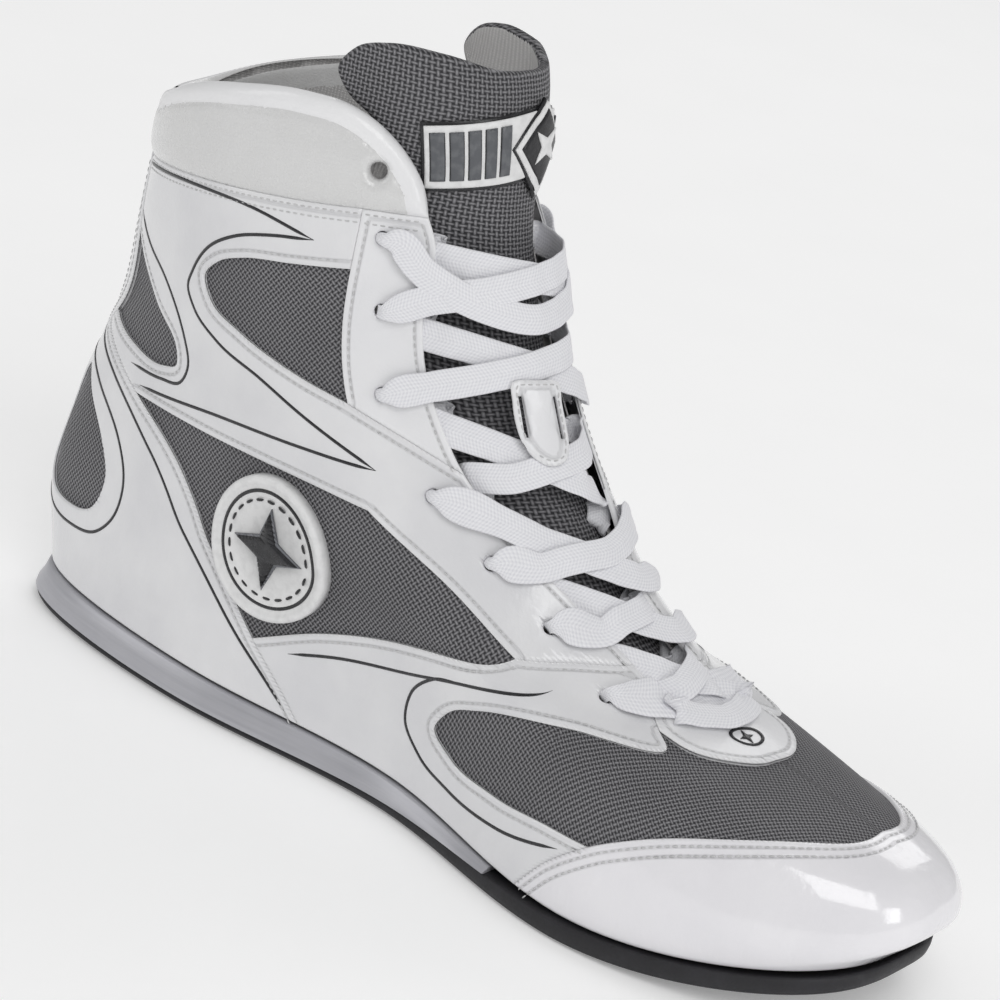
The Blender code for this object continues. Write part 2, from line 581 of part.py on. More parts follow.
def make_overlays(parts):
    """The outer layer of coated leather, piece by piece."""
    made = {}
    toe_edge = smooth_line(TOE_CAP_EDGE)
    bottom = straight(-68, 0.5, 0, 0.5, 8)
    made["toe_cap"] = panel("toe_cap", inset(round_trip(joined(back(toe_edge), bottom)), SEAM_GAP), OVERLAY, "white_gloss", parts)

    heel_edge = smooth_line(HEEL_EDGE)
    stay_front = smooth_line(STAY_FRONT)
    band_top = corner(stay_front, STAY_FRONT[5])
    band_foot = corner(stay_front, STAY_FRONT[9])
    saddle = joined(
        straight(-103, 0.5, -68, 0.5, 4),
        toe_edge[:corner(toe_edge, TOE_CAP_EDGE[2]) + 1],
        back(smooth_line(VAMP_WINDOW)),
        back(smooth_line(TAB_SIDE)),
        back(stay_front[band_foot:]),
        back(smooth_line(BAND_END)),
        smooth_line(QUARTER_LOWER),
        back(heel_edge[:corner(heel_edge, HEEL_EDGE[1]) + 1]),
    )
    holes = [round_hole(a, h, EYELET_RADIUS) for a, h in EYELETS]
    made["saddle"] = both_sides("saddle", saddle, OVERLAY, "patent", parts, holes[:1])

    heel = joined(
        straight(-173, 0.5, -103, 0.5, 8),
        heel_edge,
        straight(-173, 52.5, -173, 0.5, 6),
    )
    made["heel_panel"] = both_sides("heel_panel", heel, OVERLAY, "patent", parts, [smooth_loop(HEEL_WINDOW, 2)])

    stay_rear = smooth_line(STAY_REAR)
    window_top = corner(stay_rear, STAY_REAR[1])
    seam = straight(-61, COLLAR_SEAM, -173, BACK_STRIP_TOP, 8)
    ankle = joined(
        seam,
        straight(-173, BACK_STRIP_TOP, -173, 74, 2),
        back(smooth_line(ACHILLES_WINDOW)),
        straight(-173, 55.5, -173, 52.5, 1),
        back(heel_edge[corner(heel_edge, HEEL_EDGE[4]):]),
        back(smooth_line(ANKLE_LOWER)),
        back(smooth_line(BAND_FRONT)),
        smooth_line(BAND_END),
        back(stay_front[band_top:band_foot + 1]),
        back(smooth_line(STAY_LOWER)),
        back(smooth_line(ANKLE_WINDOW)),
        back(stay_rear[:window_top + 1]),
    )
    made["ankle_panel"] = both_sides("ankle_panel", ankle, OVERLAY, "patent", parts, holes[1:4])

    stay = joined(
        straight(-61, COLLAR_SEAM, -43, COLLAR_SEAM, 2),
        stay_front[:band_top + 1],
        back(smooth_line(STAY_LOWER)),
        back(stay_rear),
    )
    made["eyestay"] = both_sides("eyestay", stay, OVERLAY, "white_matt", parts, holes[4:])

    tab = joined(back(smooth_line(TAB_REAR)), smooth_line(TAB_SIDE), smooth_line(TAB_FRONT))
    made["throat_tab"] = panel("throat_tab", inset(round_trip(tab), SEAM_GAP), OVERLAY, "white_matt", parts)

    strip = joined(
        straight(180 - BACK_STRIP_HALF, 0.5, 180 + BACK_STRIP_HALF, 0.5, 2),
        straight(180 + BACK_STRIP_HALF, 0.5, 180 + BACK_STRIP_HALF, BACK_STRIP_TOP, 8),
        straight(180 + BACK_STRIP_HALF, BACK_STRIP_TOP, 180 - BACK_STRIP_HALF, BACK_STRIP_TOP, 2),
        straight(180 - BACK_STRIP_HALF, BACK_STRIP_TOP, 180 - BACK_STRIP_HALF, 0.5, 8),
    )
    made["back_strip"] = panel("back_strip", inset(strip, SEAM_GAP), OVERLAY, "white_matt", parts)
    return made


def make_mesh_panels(parts):
    """The woven panels that show through the windows."""
    vamp = smooth_line(VAMP_MESH, 2)
    made = {"vamp_mesh": panel("vamp_mesh", round_trip(vamp), MESH, "mesh", parts)}
    made["quarter_mesh"] = both_sides("quarter_mesh", smooth_loop(QUARTER_MESH, 1), MESH, "mesh", parts, gap=0)
    made["ankle_mesh"] = both_sides("ankle_mesh", smooth_loop(ANKLE_MESH, 1), MESH, "mesh", parts, gap=0)
    made["achilles_mesh"] = both_sides("achilles_mesh", list(ACHILLES_MESH), MESH, "mesh", parts, gap=0)
    made["heel_mesh"] = both_sides("heel_mesh", list(HEEL_MESH), MESH, "mesh", parts, gap=0)
    return made


def make_collar(parts):
    """The padded collar: cover and foam on each side, with the spare eyelet through both."""
    rim = smooth_line(COLLAR_RIM)
    seam = joined(straight(-180, BACK_STRIP_TOP, -173, BACK_STRIP_TOP, 1), straight(-173, BACK_STRIP_TOP, -61, COLLAR_SEAM, 8), straight(-61, COLLAR_SEAM, -43, COLLAR_SEAM, 2))
    outline = joined(rim, seam)
    hole = [round_hole(*COLLAR_EYELET, EYELET_RADIUS)]
    made = {"collar_cover": both_sides("collar_cover", outline, COLLAR_COVER, "silver", parts, hole)}
    made["collar_foam"] = both_sides("collar_foam", inset(outline, 1.2), COLLAR_FOAM, "foam", parts, hole, gap=0)
    return made


def make_inner(parts):
    """Lining, heel counter and toe puff."""
    made = {}
    toe_edge = smooth_line(TOE_LINING_EDGE)
    toe = round_trip(joined(back(toe_edge), straight(-66, 2, 0, 2, 6)))
    made["toe_lining"] = panel("toe_lining", inset(toe, SEAM_GAP), LINING, "lining", parts)
    flex_edge = smooth_line(FLEX_REAR_EDGE)
    vamp = round_trip(joined(back(flex_edge), straight(-71, 2, -66, 2, 1), toe_edge))
    made["vamp_lining"] = panel("vamp_lining", inset(vamp, SEAM_GAP), LINING, "lining", parts)
    heel_angle = HEEL_LINING_ANGLE
    rim = [p for p in smooth_line(COLLAR_RIM) if p[0] > -heel_angle]
    rim_back = [p for p in smooth_line(COLLAR_RIM) if p[0] < -heel_angle]
    turning = (-heel_angle, 103.6)
    quarter = joined(
        [(a - 3.5, h) for a, h in smooth_line(STAY_FRONT)[:-1]],
        smooth_line(((-18, 41.5), (-13, 40.4), (-7, 40.1), (0, 40))),
        straight(0, 40, 0, 36.8, 1),
        back(flex_edge),
        straight(-71, 2, -heel_angle, 2, 5),
        straight(-heel_angle, 2, *turning, 8),
        back([*[(min(a, -46.5), h) for a, h in rim], turning]),
    )
    holes = [round_hole(a, h, LINING_HOLE_RADIUS, 6) for a, h in (*EYELETS, COLLAR_EYELET)]
    made["quarter_lining"] = both_sides("quarter_lining", quarter, LINING, "lining", parts, holes, gap=0.4)
    half = joined(straight(-180, 2, -heel_angle, 2, 3), straight(-heel_angle, 2, *turning, 8), [turning, *rim_back])
    other = [(360 + a, h) for a, h in half]
    heel = joined(back(mirrored(half)), other)
    made["heel_lining"] = panel("heel_lining", inset(heel, 0.4), LINING, "lining", parts)
    edge = smooth_line(COUNTER_EDGE, 2)
    arc = [*edge, *[(360 - a, h) for a, h in back(edge)][1:]]
    counter = joined(arc, straight(360 - 112, 3, 112, 3, 8))
    made["heel_counter"] = panel("heel_counter", counter, STIFFENER, "stiffener", parts)
    puff = round_trip(joined(back(smooth_line(PUFF_EDGE, 2)), straight(-46, 3, 0, 3, 5)))
    made["toe_puff"] = panel("toe_puff", puff, STIFFENER, "stiffener", parts)
    return made


def make_tongue(parts):
    """The padded tongue: the part under the laces and the flap above them, with its rubber label."""
    split = TONGUE_SPLIT
    lower_half = joined(smooth_line(TONGUE_EDGE), straight(-52, split, 0, split, 5))
    made = {"tongue": panel("tongue", inset(round_trip(lower_half), 0.3), TONGUE, "mesh", parts)}
    upper_half = joined(straight(0, split, -52, split, 5), smooth_line(TONGUE_TOP_EDGE))
    made["tongue_flap"] = panel("tongue_flap", inset(round_trip(upper_half), 0.3), TONGUE, "mesh", parts)
    label_half = [(0, 95), (-9, 96.2), (-10, 97), (-24, 97), (-40, 97), (-40, 104), (-24, 104), (-10, 104), (-9, 105), (0, 106.2)]
    made["tongue_label"] = panel("tongue_label", round_trip(label_half), LABEL, "emblem_white", parts)
    stud_half = [(0, 96.4), (-7, 97.6), (-8.5, 100.5), (-7, 103.6), (0, 104.8)]
    made["label_stud"] = panel("label_stud", round_trip(stud_half), LABEL_STUD, "black", parts)
    return made


def make_badges(parts):
    """The round side badges with a plain four-pointed star, and the small oval on the throat tab."""
    turns = [2 * math.pi * k / 20 for k in range(20)]
    disc = [walked(*BADGE_CENTRE, BADGE_RADIUS * math.cos(t), BADGE_RADIUS * math.sin(t)) for t in turns]
    made = {"badge_disc": both_sides("badge_disc", disc, BADGE, "emblem_white", parts, gap=0)}
    star = []
    for k in range(8):
        reach = STAR_REACH if k % 2 == 0 else STAR_WAIST
        t = 2 * math.pi * k / 8
        star.append(walked(*BADGE_CENTRE, reach * math.cos(t), reach * math.sin(t)))
    made["badge_star"] = both_sides("badge_star", star, EMBLEM, "black", parts, gap=0)
    wide, tall = (np.linalg.norm(v) for v in LATTICE.scale_at(0, 39.3))
    oval = [(OVAL_HALF[0] * math.cos(t) / wide, 39.3 + OVAL_HALF[1] * math.sin(t) / tall) for t in turns[::2]]
    made["throat_oval"] = panel("throat_oval", oval, (0.3, 1.1), "black", parts)
    return made


# Laces


def beside(eyelet, side, mm, rise, lift, width):
    """A lace step mm in front of an eyelet along its loop, rise percent higher and lift off the surface."""
    angle, height = eyelet
    wide = np.linalg.norm(LATTICE.scale_at(side * angle, height)[0])
    return (side * (angle + mm / wide), height + rise, lift, width)


def edge_angle(height):
    """Angle of the eyestay's front edge at a height."""
    return float(np.interp(height, [h for a, h in back(STAY_FRONT)], [a for a, h in back(STAY_FRONT)]))


def down_through(eyelet, side):
    """Steps down through an eyelet and forward under the eyestay."""
    return [
        beside(eyelet, side, -0.3, 0.0, -0.4, NARROW),
        beside(eyelet, side, -0.3, 0.0, -3.8, NARROW),
        beside(eyelet, side, 0.6, 0.0, LACE_UNDER + 0.1, NARROW),
        beside(eyelet, side, 3.0, 0.1, LACE_UNDER, 3.6),
    ]


def into_eyelet(eyelet, side):
    """Steps over the eyestay from the front up to the mouth of an eyelet."""
    return [
        beside(eyelet, side, 7.0, -0.5, LACE_OVER + 0.6, 6.2),
        beside(eyelet, side, 3.6, -0.1, LACE_OVER + 0.3, 4.0),
        beside(eyelet, side, 0.9, 0.0, LACE_OVER + 0.2, NARROW),
    ]


def strand(side):
    """One half of the lace: from its eyelet in the first row up to its end behind the last."""
    route = []
    for low, high in zip(EYELETS[:-1], EYELETS[1:]):
        rise = high[1] - low[1]
        edge = edge_angle(low[1] + 0.35 * rise)
        far_edge = -edge_angle(low[1] + 0.65 * rise)
        over = LACE_CROSSING if side > 0 else LACE_OVER
        route += [
            *down_through(low, side),
            (side * (edge - 2.0), low[1] + 0.24 * rise, LACE_UNDER, 6.2),
            (side * (edge + 4.0), low[1] + 0.33 * rise, -3.9, LACE_WIDTH),
            (side * edge * 0.4, low[1] + 0.43 * rise, over - 1.6, LACE_WIDTH),
            (0, low[1] + 0.53 * rise, over, LACE_WIDTH),
            (side * far_edge * 0.5, low[1] + 0.62 * rise, LACE_OVER + 0.9, LACE_WIDTH),
            (side * (far_edge + 1.0), low[1] + 0.74 * rise, LACE_OVER + 1.0, LACE_WIDTH),
            *into_eyelet(high, -side),
        ]
        side = -side
    return [*route, *down_through(EYELETS[-1], side), beside(EYELETS[-1], side, 7.0, -1.0, LACE_UNDER, 5.6)]


def lace_route():
    """The lace's whole route, as (angle, height, lift, width), from one end behind the top eyelet to the other."""
    first = EYELETS[0]
    bar = [(a, first[1] + 0.3, LACE_OVER + 1.1, LACE_WIDTH) for a in (-20, -7, 7, 20)]
    return [*back(strand(1)), *back(into_eyelet(first, 1)), *bar, *into_eyelet(first, -1), *strand(-1)]


def make_lace(parts):
    """One flat lace through every eyelet, held all the way."""
    route = lace_route()
    places = np.array([LATTICE.place(a, h, lift) for a, h, lift, width in route])
    up = np.array([LATTICE.scale_at(a, h)[1] for a, h, lift, width in route])
    way = np.gradient(places, axis=0)
    way /= np.linalg.norm(way, axis=1, keepdims=True)
    across = up - way * (up * way).sum(axis=1, keepdims=True)
    across /= np.linalg.norm(across, axis=1, keepdims=True)
    through = np.cross(way, across)
    bm = bmesh.new()
    rings = []
    for place, step, wide, thick in zip(places, route, across, through):
        w, t = wide * step[3] / 2, thick * LACE_THICKNESS / 2
        rings.append([bm.verts.new(place + c) for c in (-w - t, w - t, w + t, -w + t)])
    for low, high in zip(rings[:-1], rings[1:]):
        for k in range(4):
            bm.faces.new([low[k], low[(k + 1) % 4], high[(k + 1) % 4], high[k]])
    bm.faces.new(rings[0])
    bm.faces.new(rings[-1])
    return add_object("lace", bm, "lace", parts)


def make_keeper(parts):
    """The lace keeper: a tab on the tongue that holds the crossing laces in line."""
    outline = smooth_loop(((-9, 60.8), (-9.5, 64), (-9, 68), (0, 68.6), (9, 68), (9.5, 64), (9, 60.8), (0, 58.8)), 2)
    return panel("lace_keeper", outline, (3.4, 4.6), "white_matt", parts)


def axis_empty(name, place, collection):
    """An empty on a joint's axis."""
    empty = bpy.data.objects.new(name, None)
    empty.location = place
    empty.empty_display_size = 0.02
    collection.objects.link(empty)
    return empty


def hang_on(empty, pieces):
    """Parent pieces to an empty and leave them where they are."""
    for piece in pieces:
        piece.parent = empty
        piece.matrix_parent_inverse = Matrix.Translation(-empty.location)


def main():
    for obj in list(bpy.data.objects):
        bpy.data.objects.remove(obj)
    parts = new_collection("boxing_boot")
    sole = make_sole(parts)
    overlays = make_overlays(parts)
    make_mesh_panels(parts)
    make_collar(parts)
    inner = make_inner(parts)
    tongue = make_tongue(parts)
    make_badges(parts)
    make_lace(parts)
    make_keeper(parts)
    flex = axis_empty("forefoot_flex_axis", Vector((FLEX_X - MIDDLE_X, 0, FLEX_Z)) * MM, parts)
    hang_on(flex, [sole["outsole_front"], sole["insole_board_front"], overlays["toe_cap"], inner["toe_puff"], inner["toe_lining"]])
    root = LATTICE.place(0, TONGUE_SPLIT, TONGUE[0]) - np.array([MIDDLE_X, MIDDLE_Y, 0])
    fold = axis_empty("tongue_fold_axis", Vector(root) * MM, parts)
    hang_on(fold, [tongue["tongue_flap"], tongue["tongue_label"], tongue["label_stud"]])


main()
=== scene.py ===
"""Looks of a left-foot, high-top boxing boot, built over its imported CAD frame."""

import logging
import math
from contextlib import contextmanager
from dataclasses import dataclass, field
from enum import Enum
from typing import Any, Iterable, Iterator, Sequence

import bmesh
import bpy
import numpy as np
from mathutils import Matrix, Vector
from mathutils.geometry import delaunay_2d_cdt

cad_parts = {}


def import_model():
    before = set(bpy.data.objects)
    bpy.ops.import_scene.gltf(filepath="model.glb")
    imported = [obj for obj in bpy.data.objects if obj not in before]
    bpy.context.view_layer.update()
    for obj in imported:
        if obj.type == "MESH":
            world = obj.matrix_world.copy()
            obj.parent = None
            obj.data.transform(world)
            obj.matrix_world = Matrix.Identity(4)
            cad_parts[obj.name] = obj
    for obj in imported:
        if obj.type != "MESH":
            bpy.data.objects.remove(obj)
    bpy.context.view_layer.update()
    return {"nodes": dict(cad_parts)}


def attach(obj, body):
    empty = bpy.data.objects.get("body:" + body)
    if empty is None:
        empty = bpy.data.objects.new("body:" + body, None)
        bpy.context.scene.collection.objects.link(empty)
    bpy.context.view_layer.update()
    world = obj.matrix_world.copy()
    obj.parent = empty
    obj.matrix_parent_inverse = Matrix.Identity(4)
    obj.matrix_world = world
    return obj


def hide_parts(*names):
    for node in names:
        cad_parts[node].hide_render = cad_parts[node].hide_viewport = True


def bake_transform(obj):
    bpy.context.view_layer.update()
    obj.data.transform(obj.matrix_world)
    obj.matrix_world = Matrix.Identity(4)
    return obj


LOG = logging.getLogger("boxing_boot")
MM = 0.001
ORIGIN = np.array([148.623, 0.039, 0.0])
SAME_POINT = 1e-3
CDT_SCALE = np.array([1.1, 1.7])
Line = np.ndarray
Spot = tuple[float, float]
Places = tuple[Spot, ...]
Steps = list[tuple[float, ...]]
Colour = tuple[float, float, float]


# Shader graphs


class Sock:
    """A node's output that can be used in Python expressions."""

    def __init__(self, graph: "Graph", socket: Any) -> None:
        """Wrap a socket of a graph."""
        self.graph = graph
        self.socket = socket

    def _math(self, operation: str, *values: Any) -> "Sock":
        """Add one Math node.

        Args:
            operation: The node's operation.
            values: Numbers or sockets for its inputs, in order.

        Returns:
            The node's output.
        """
        return self.graph.value("ShaderNodeMath", {"operation": operation}, dict(enumerate(values)))

    def __add__(self, other: Any) -> "Sock":
        """self + other."""
        return self._math("ADD", self, other)

    __radd__ = __add__

    def __sub__(self, other: Any) -> "Sock":
        """self - other."""
        return self._math("SUBTRACT", self, other)

    def __rsub__(self, other: Any) -> "Sock":
        """other - self."""
        return self._math("SUBTRACT", other, self)

    def __mul__(self, other: Any) -> "Sock":
        """self * other."""
        return self._math("MULTIPLY", self, other)

    __rmul__ = __mul__

    def __truediv__(self, other: Any) -> "Sock":
        """self / other."""
        return self._math("DIVIDE", self, other)

    def __abs__(self) -> "Sock":
        """Absolute value."""
        return self._math("ABSOLUTE", self)

    def sin(self) -> "Sock":
        """Sine."""
        return self._math("SINE", self)

    def cos(self) -> "Sock":
        """Cosine."""
        return self._math("COSINE", self)

    def sign(self) -> "Sock":
        """Sign."""
        return self._math("SIGN", self)

    def maximum(self, other: Any) -> "Sock":
        """The larger of the two."""
        return self._math("MAXIMUM", self, other)

    def minimum(self, other: Any) -> "Sock":
        """The smaller of the two."""
        return self._math("MINIMUM", self, other)

    def clamped(self) -> "Sock":
        """Clamped to 0..1."""
        return self.maximum(0.0).minimum(1.0)

    def near(self, centre: float, half: float) -> "Sock":
        """A soft peak of height 1 about a value.

        Args:
            centre: Where the peak is.
            half: Its half width.

        Returns:
            The peak's height.
        """
        rise = (1.0 - abs(self - centre) / half).clamped()
        return rise * rise * (3.0 - 2.0 * rise)

    def step(self, edge: float, soft: float) -> "Sock":
        """A soft step from 0 to 1 at a value."""
        return ((self - (edge - soft)) / (2.0 * soft)).clamped()


class Graph:
    """The node tree of one material, with its Principled shader."""

    def __init__(self, name: str) -> None:
        """Make a material with an empty surface."""
        self.material = bpy.data.materials.new(name)
        self.material.use_nodes = True
        self.tree = self.material.node_tree
        self.shader = self.tree.nodes["Principled BSDF"]

    def node(
        self,
        kind: str,
        settings: dict[str, Any] | None = None,
        inputs: dict[Any, Any] | None = None,
    ) -> Any:
        """Add a node, set its settings, then its inputs.

        Args:
            kind: The node's type.
            settings: Its attributes.
            inputs: Values, nodes' outputs or Socks by input name or index.

        Returns:
            The node.
        """
        made = self.tree.nodes.new(kind)
        for key, value in (settings or {}).items():
            setattr(made, key, value)
        for key, value in (inputs or {}).items():
            self.feed(made.inputs[key], value)
        return made

    def feed(self, target: Any, value: Any) -> None:
        """Set or link one input."""
        if isinstance(value, Sock):
            self.tree.links.new(value.socket, target)
        else:
            target.default_value = value

    def value(
        self,
        kind: str,
        settings: dict[str, Any] | None = None,
        inputs: dict[Any, Any] | None = None,
        output: Any = 0,
    ) -> Sock:
        """Add a node and return one of its outputs."""
        return Sock(self, self.node(kind, settings, inputs).outputs[output])

    def attribute(self, name: str) -> Sock:
        """A float attribute of the mesh."""
        return self.value("ShaderNodeAttribute", {"attribute_name": name}, {}, "Fac")

    def place(self) -> Sock:
        """Object coordinates in millimetres."""
        where = self.value("ShaderNodeTexCoord", {}, {}, "Object")
        return self.value("ShaderNodeVectorMath", {"operation": "SCALE"}, {0: where, "Scale": 1000.0})

    def flat(self) -> tuple[Sock, Sock]:
        """The two coordinates of the UV map, which is in millimetres."""
        split = self.node("ShaderNodeSeparateXYZ", {}, {0: self.value("ShaderNodeUVMap", {"uv_map": "mm"})})
        return Sock(self, split.outputs[0]), Sock(self, split.outputs[1])

    def noise(self, size: float, detail: float = 3.0, stretch: Sequence[float] | None = None) -> Sock:
        """Noise whose features are about size millimetres."""
        spot = self.place()
        if stretch:
            spot = self.value(
                "ShaderNodeVectorMath", {"operation": "MULTIPLY"}, {0: spot, 1: tuple(stretch)}
            )
        return self.value("ShaderNodeTexNoise", {}, {"Vector": spot, "Scale": 1.0 / size, "Detail": detail})

    def mix(self, share: Any, low: Any, high: Any) -> Sock:
        """Mix two colours."""
        made = self.node("ShaderNodeMix", {"data_type": "RGBA"})
        self.feed(made.inputs[0], share)
        for target, colour in ((made.inputs[6], low), (made.inputs[7], high)):
            self.feed(target, colour if isinstance(colour, Sock) else (*colour, 1.0))
        return Sock(self, made.outputs[2])

    def bump(self, height: Sock, depth_mm: float) -> None:
        """Feed the shader's normal from a height, over any bump already there."""
        inputs = {"Height": height, "Distance": depth_mm * MM}
        target = self.shader.inputs["Normal"]
        if target.is_linked:
            inputs["Normal"] = Sock(self, target.links[0].from_socket)
        self.feed(target, self.value("ShaderNodeBump", {}, inputs))

    def surface(self, **inputs: Any) -> None:
        """Set the shader's inputs, named with underscores for spaces."""
        for key, value in inputs.items():
            colour = isinstance(value, tuple) and len(value) == 3
            self.feed(self.shader.inputs[key.replace("_", " ")], (*value, 1.0) if colour else value)


# Finishes


@dataclass(frozen=True)
class PatentFinish:
    """Glossy coated leather with a fine grain, soft creases and pressed stitch channels; the channels are
    painted darker (painted shade, with some dirt) and the sewn rims lighter (painted highlight).
    """

    colour: Colour = (0.80, 0.80, 0.81)
    shade: Colour = (0.70, 0.70, 0.72)
    roughness: float = 0.24
    coat: float = 0.55
    grain: float = 0.05
    crease: float = 0.35
    channels: tuple[float, ...] = (2.1,)

    def make(self, name: str) -> Any:
        """Build the material."""
        graph = Graph(name)
        seam = graph.attribute("seam")
        wide = graph.noise(22.0, 3.0)
        fine = graph.noise(0.9, 2.0)
        creases = graph.noise(7.0, 4.0, stretch=(1.0, 1.0, 0.45))
        channel = seam.near(self.channels[0], 0.75)
        for distance in self.channels[1:]:
            channel = channel.maximum(seam.near(distance, 0.75))
        # Mask of the painted highlight along the sewn rims.
        edge = 1.0 - seam.step(0.35, 0.3)
        colour = graph.mix(wide.step(0.5, 0.25), self.colour, self.shade)
        # Darker in the stitch channels: painted shade in the grooves, with some dirt.
        colour = graph.mix(channel * 0.35, colour, tuple(c * 0.62 for c in self.shade))
        # Lighter along the sewn rims: painted highlight.
        colour = graph.mix(edge * 0.35, colour, (0.92, 0.92, 0.92))
        rough = self.roughness + 0.10 * (graph.noise(3.0, 3.0) - 0.5) + channel * 0.25
        graph.surface(
            Base_Color=colour, Roughness=rough, Metallic=0.0, Coat_Weight=self.coat, Coat_Roughness=0.06
        )
        graph.bump(creases, self.crease)
        graph.bump(fine, self.grain)
        graph.bump(1.0 - channel, 0.28)
        return graph.material


@dataclass(frozen=True)
class WeaveFinish:
    """Coarse plain-woven mesh, with painted shade in the gaps between its threads."""

    thread: Colour = (0.30, 0.295, 0.31)
    # Colour of the painted shade in the gaps between the threads.
    gap: Colour = (0.022, 0.022, 0.025)
    pitch: float = 1.15
    depth: float = 0.35
    turn: float = 0.62

    def make(self, name: str) -> Any:
        """Build the material."""
        graph = Graph(name)
        u, v = graph.flat()
        drift = (graph.noise(6.0, 2.0) - 0.5) * 0.5
        along = u * math.cos(self.turn) - v * math.sin(self.turn)
        across = u * math.sin(self.turn) + v * math.cos(self.turn)
        u = (along / self.pitch + drift) * math.pi
        v = (across / self.pitch + drift) * math.pi
        cu, cv = u.cos(), v.cos()
        warp = cu * cu * (0.62 + 0.38 * cu.sign() * cv)
        weft = cv * cv * (0.62 - 0.38 * cv.sign() * cu)
        height = warp.maximum(weft)
        strands = (graph.noise(0.35, 2.0) - 0.5) * 0.35
        # Thread tint on the raised threads, falling to painted shade in the low gaps.
        light = ((height + strands * height - 0.18) * 1.35).clamped()
        tint = graph.mix(
            graph.noise(30.0, 2.0).step(0.5, 0.3), self.thread, tuple(c * 0.82 for c in self.thread)
        )
        graph.surface(
            Base_Color=graph.mix(light, self.gap, tint), Roughness=0.62 - 0.16 * light, Metallic=0.0
        )
        graph.shader.inputs["Specular IOR Level"].default_value = 0.4
        graph.bump(height + strands * 0.3, self.depth)
        return graph.material


@dataclass(frozen=True)
class CollarFinish:
    """Soft pearl vinyl over foam."""

    colour: Colour = (0.72, 0.72, 0.72)
    warm: Colour = (0.66, 0.66, 0.655)

    def make(self, name: str) -> Any:
        """Build the material."""
        graph = Graph(name)
        cells = graph.value(
            "ShaderNodeTexVoronoi", {"feature": "DISTANCE_TO_EDGE"}, {"Vector": graph.place(), "Scale": 1.1}
        )
        wide = graph.noise(26.0, 3.0)
        graph.surface(
            Base_Color=graph.mix(wide.step(0.5, 0.3), self.colour, self.warm),
            Roughness=0.27 + 0.12 * (graph.noise(4.0) - 0.5),
            Metallic=0.06,
            Coat_Weight=0.5,
            Coat_Roughness=0.14,
        )
        graph.bump(graph.noise(11.0, 3.0, stretch=(1.0, 1.0, 0.6)), 0.5)
        graph.bump(cells.step(0.12, 0.12), 0.035)
        return graph.material


@dataclass(frozen=True)
class KnitFinish:
    """Brushed lining cloth with fine ribs, painted darker between the ribs as shade."""

    colour: Colour = (0.68, 0.67, 0.665)
    rib: float = 0.9

    def make(self, name: str) -> Any:
        """Build the material."""
        graph = Graph(name)
        u, v = graph.flat()
        ribs = (u * (2.0 * math.pi / self.rib)).sin() * 0.5 + 0.5
        loops = (v * (2.0 * math.pi / (self.rib * 0.8))).sin() * 0.5 + 0.5
        height = ribs * (0.6 + 0.4 * loops)
        fluff = graph.noise(0.5, 3.0)
        # Darker in the low places of the ribs: painted shade; the fluff noise adds random tone.
        dark = tuple(c * 0.62 for c in self.colour)
        graph.surface(
            Base_Color=graph.mix((height * 0.6 + fluff * 0.5).clamped(), dark, self.colour), Roughness=0.92
        )
        graph.shader.inputs["Sheen Weight"].default_value = 0.15
        graph.bump(height + fluff * 0.4, 0.22)
        return graph.material


@dataclass(frozen=True)
class LaceFinish:
    """Flat braided lace with a chevron of fine threads."""

    colour: Colour = (0.86, 0.86, 0.885)
    shade: Colour = (0.66, 0.66, 0.70)

    def make(self, name: str) -> Any:
        """Build the material."""
        graph = Graph(name)
        along, across = graph.flat()
        chevron = ((along + abs(across) * 0.55) * (2.0 * math.pi / 0.95)).sin() * 0.5 + 0.5
        cords = (across * (2.0 * math.pi / 0.9)).cos() * 0.5 + 0.5
        height = chevron * 0.55 + cords * 0.45
        fluff = graph.noise(0.45, 3.0)
        # Lighter on the crowns of the braid, painted shade in its grooves; the fluff noise adds random tone.
        light = (height * 0.85 + fluff * 0.35 + 0.1).clamped()
        graph.surface(Base_Color=graph.mix(light, self.shade, self.colour), Roughness=0.72)
        graph.shader.inputs["Sheen Weight"].default_value = 0.2
        graph.bump(height + fluff * 0.3, 0.10)
        return graph.material


@dataclass(frozen=True)
class RubberFinish:
    """Black rubber with a fine matt texture and a herringbone tread underneath."""

    colour: Colour = (0.011, 0.0105, 0.013)

    def make(self, name: str) -> Any:
        """Build the material."""
        graph = Graph(name)
        split = graph.node("ShaderNodeSeparateXYZ", {}, {0: graph.place()})
        x, y = (Sock(graph, split.outputs[k]) for k in range(2))
        zigzag = abs((y * (math.pi / 7.0)).sin()) * 3.0
        tread = ((x + zigzag) * (2.0 * math.pi / 4.4)).sin().step(-0.1, 0.35)
        normal = graph.node(
            "ShaderNodeSeparateXYZ", {}, {0: graph.value("ShaderNodeNewGeometry", {}, {}, "Normal")}
        )
        under = (0.0 - Sock(graph, normal.outputs[2])).step(0.8, 0.1)
        grit = graph.noise(0.8, 4.0)
        worn = graph.noise(9.0, 4.0).step(0.6, 0.15)
        graph.surface(
            Base_Color=graph.mix(
                worn * 0.5 + under * tread * 0.3, self.colour, tuple(c * 2.6 for c in self.colour)
            ),
            Roughness=0.46 + 0.25 * grit,
        )
        graph.bump(grit, 0.05)
        graph.bump(tread * under, 0.8)
        return graph.material


@dataclass(frozen=True)
class BandFinish:
    """Silver-grey foil over the midsole's edge, drawn along the boot."""

    colour: Colour = (0.40, 0.40, 0.43)
    light: Colour = (0.50, 0.50, 0.53)

    def make(self, name: str) -> Any:
        """Build the material."""
        graph = Graph(name)
        drawn = graph.noise(3.0, 4.0, stretch=(0.08, 0.3, 3.0))
        wide = graph.noise(18.0, 2.0)
        graph.surface(
            Base_Color=graph.mix((drawn * 0.6 + wide * 0.4).step(0.5, 0.2), self.colour, self.light),
            Roughness=0.34 + 0.15 * (drawn - 0.5),
            Metallic=0.25,
        )
        graph.bump(drawn, 0.06)
        graph.bump(graph.noise(0.7, 2.0), 0.03)
        return graph.material


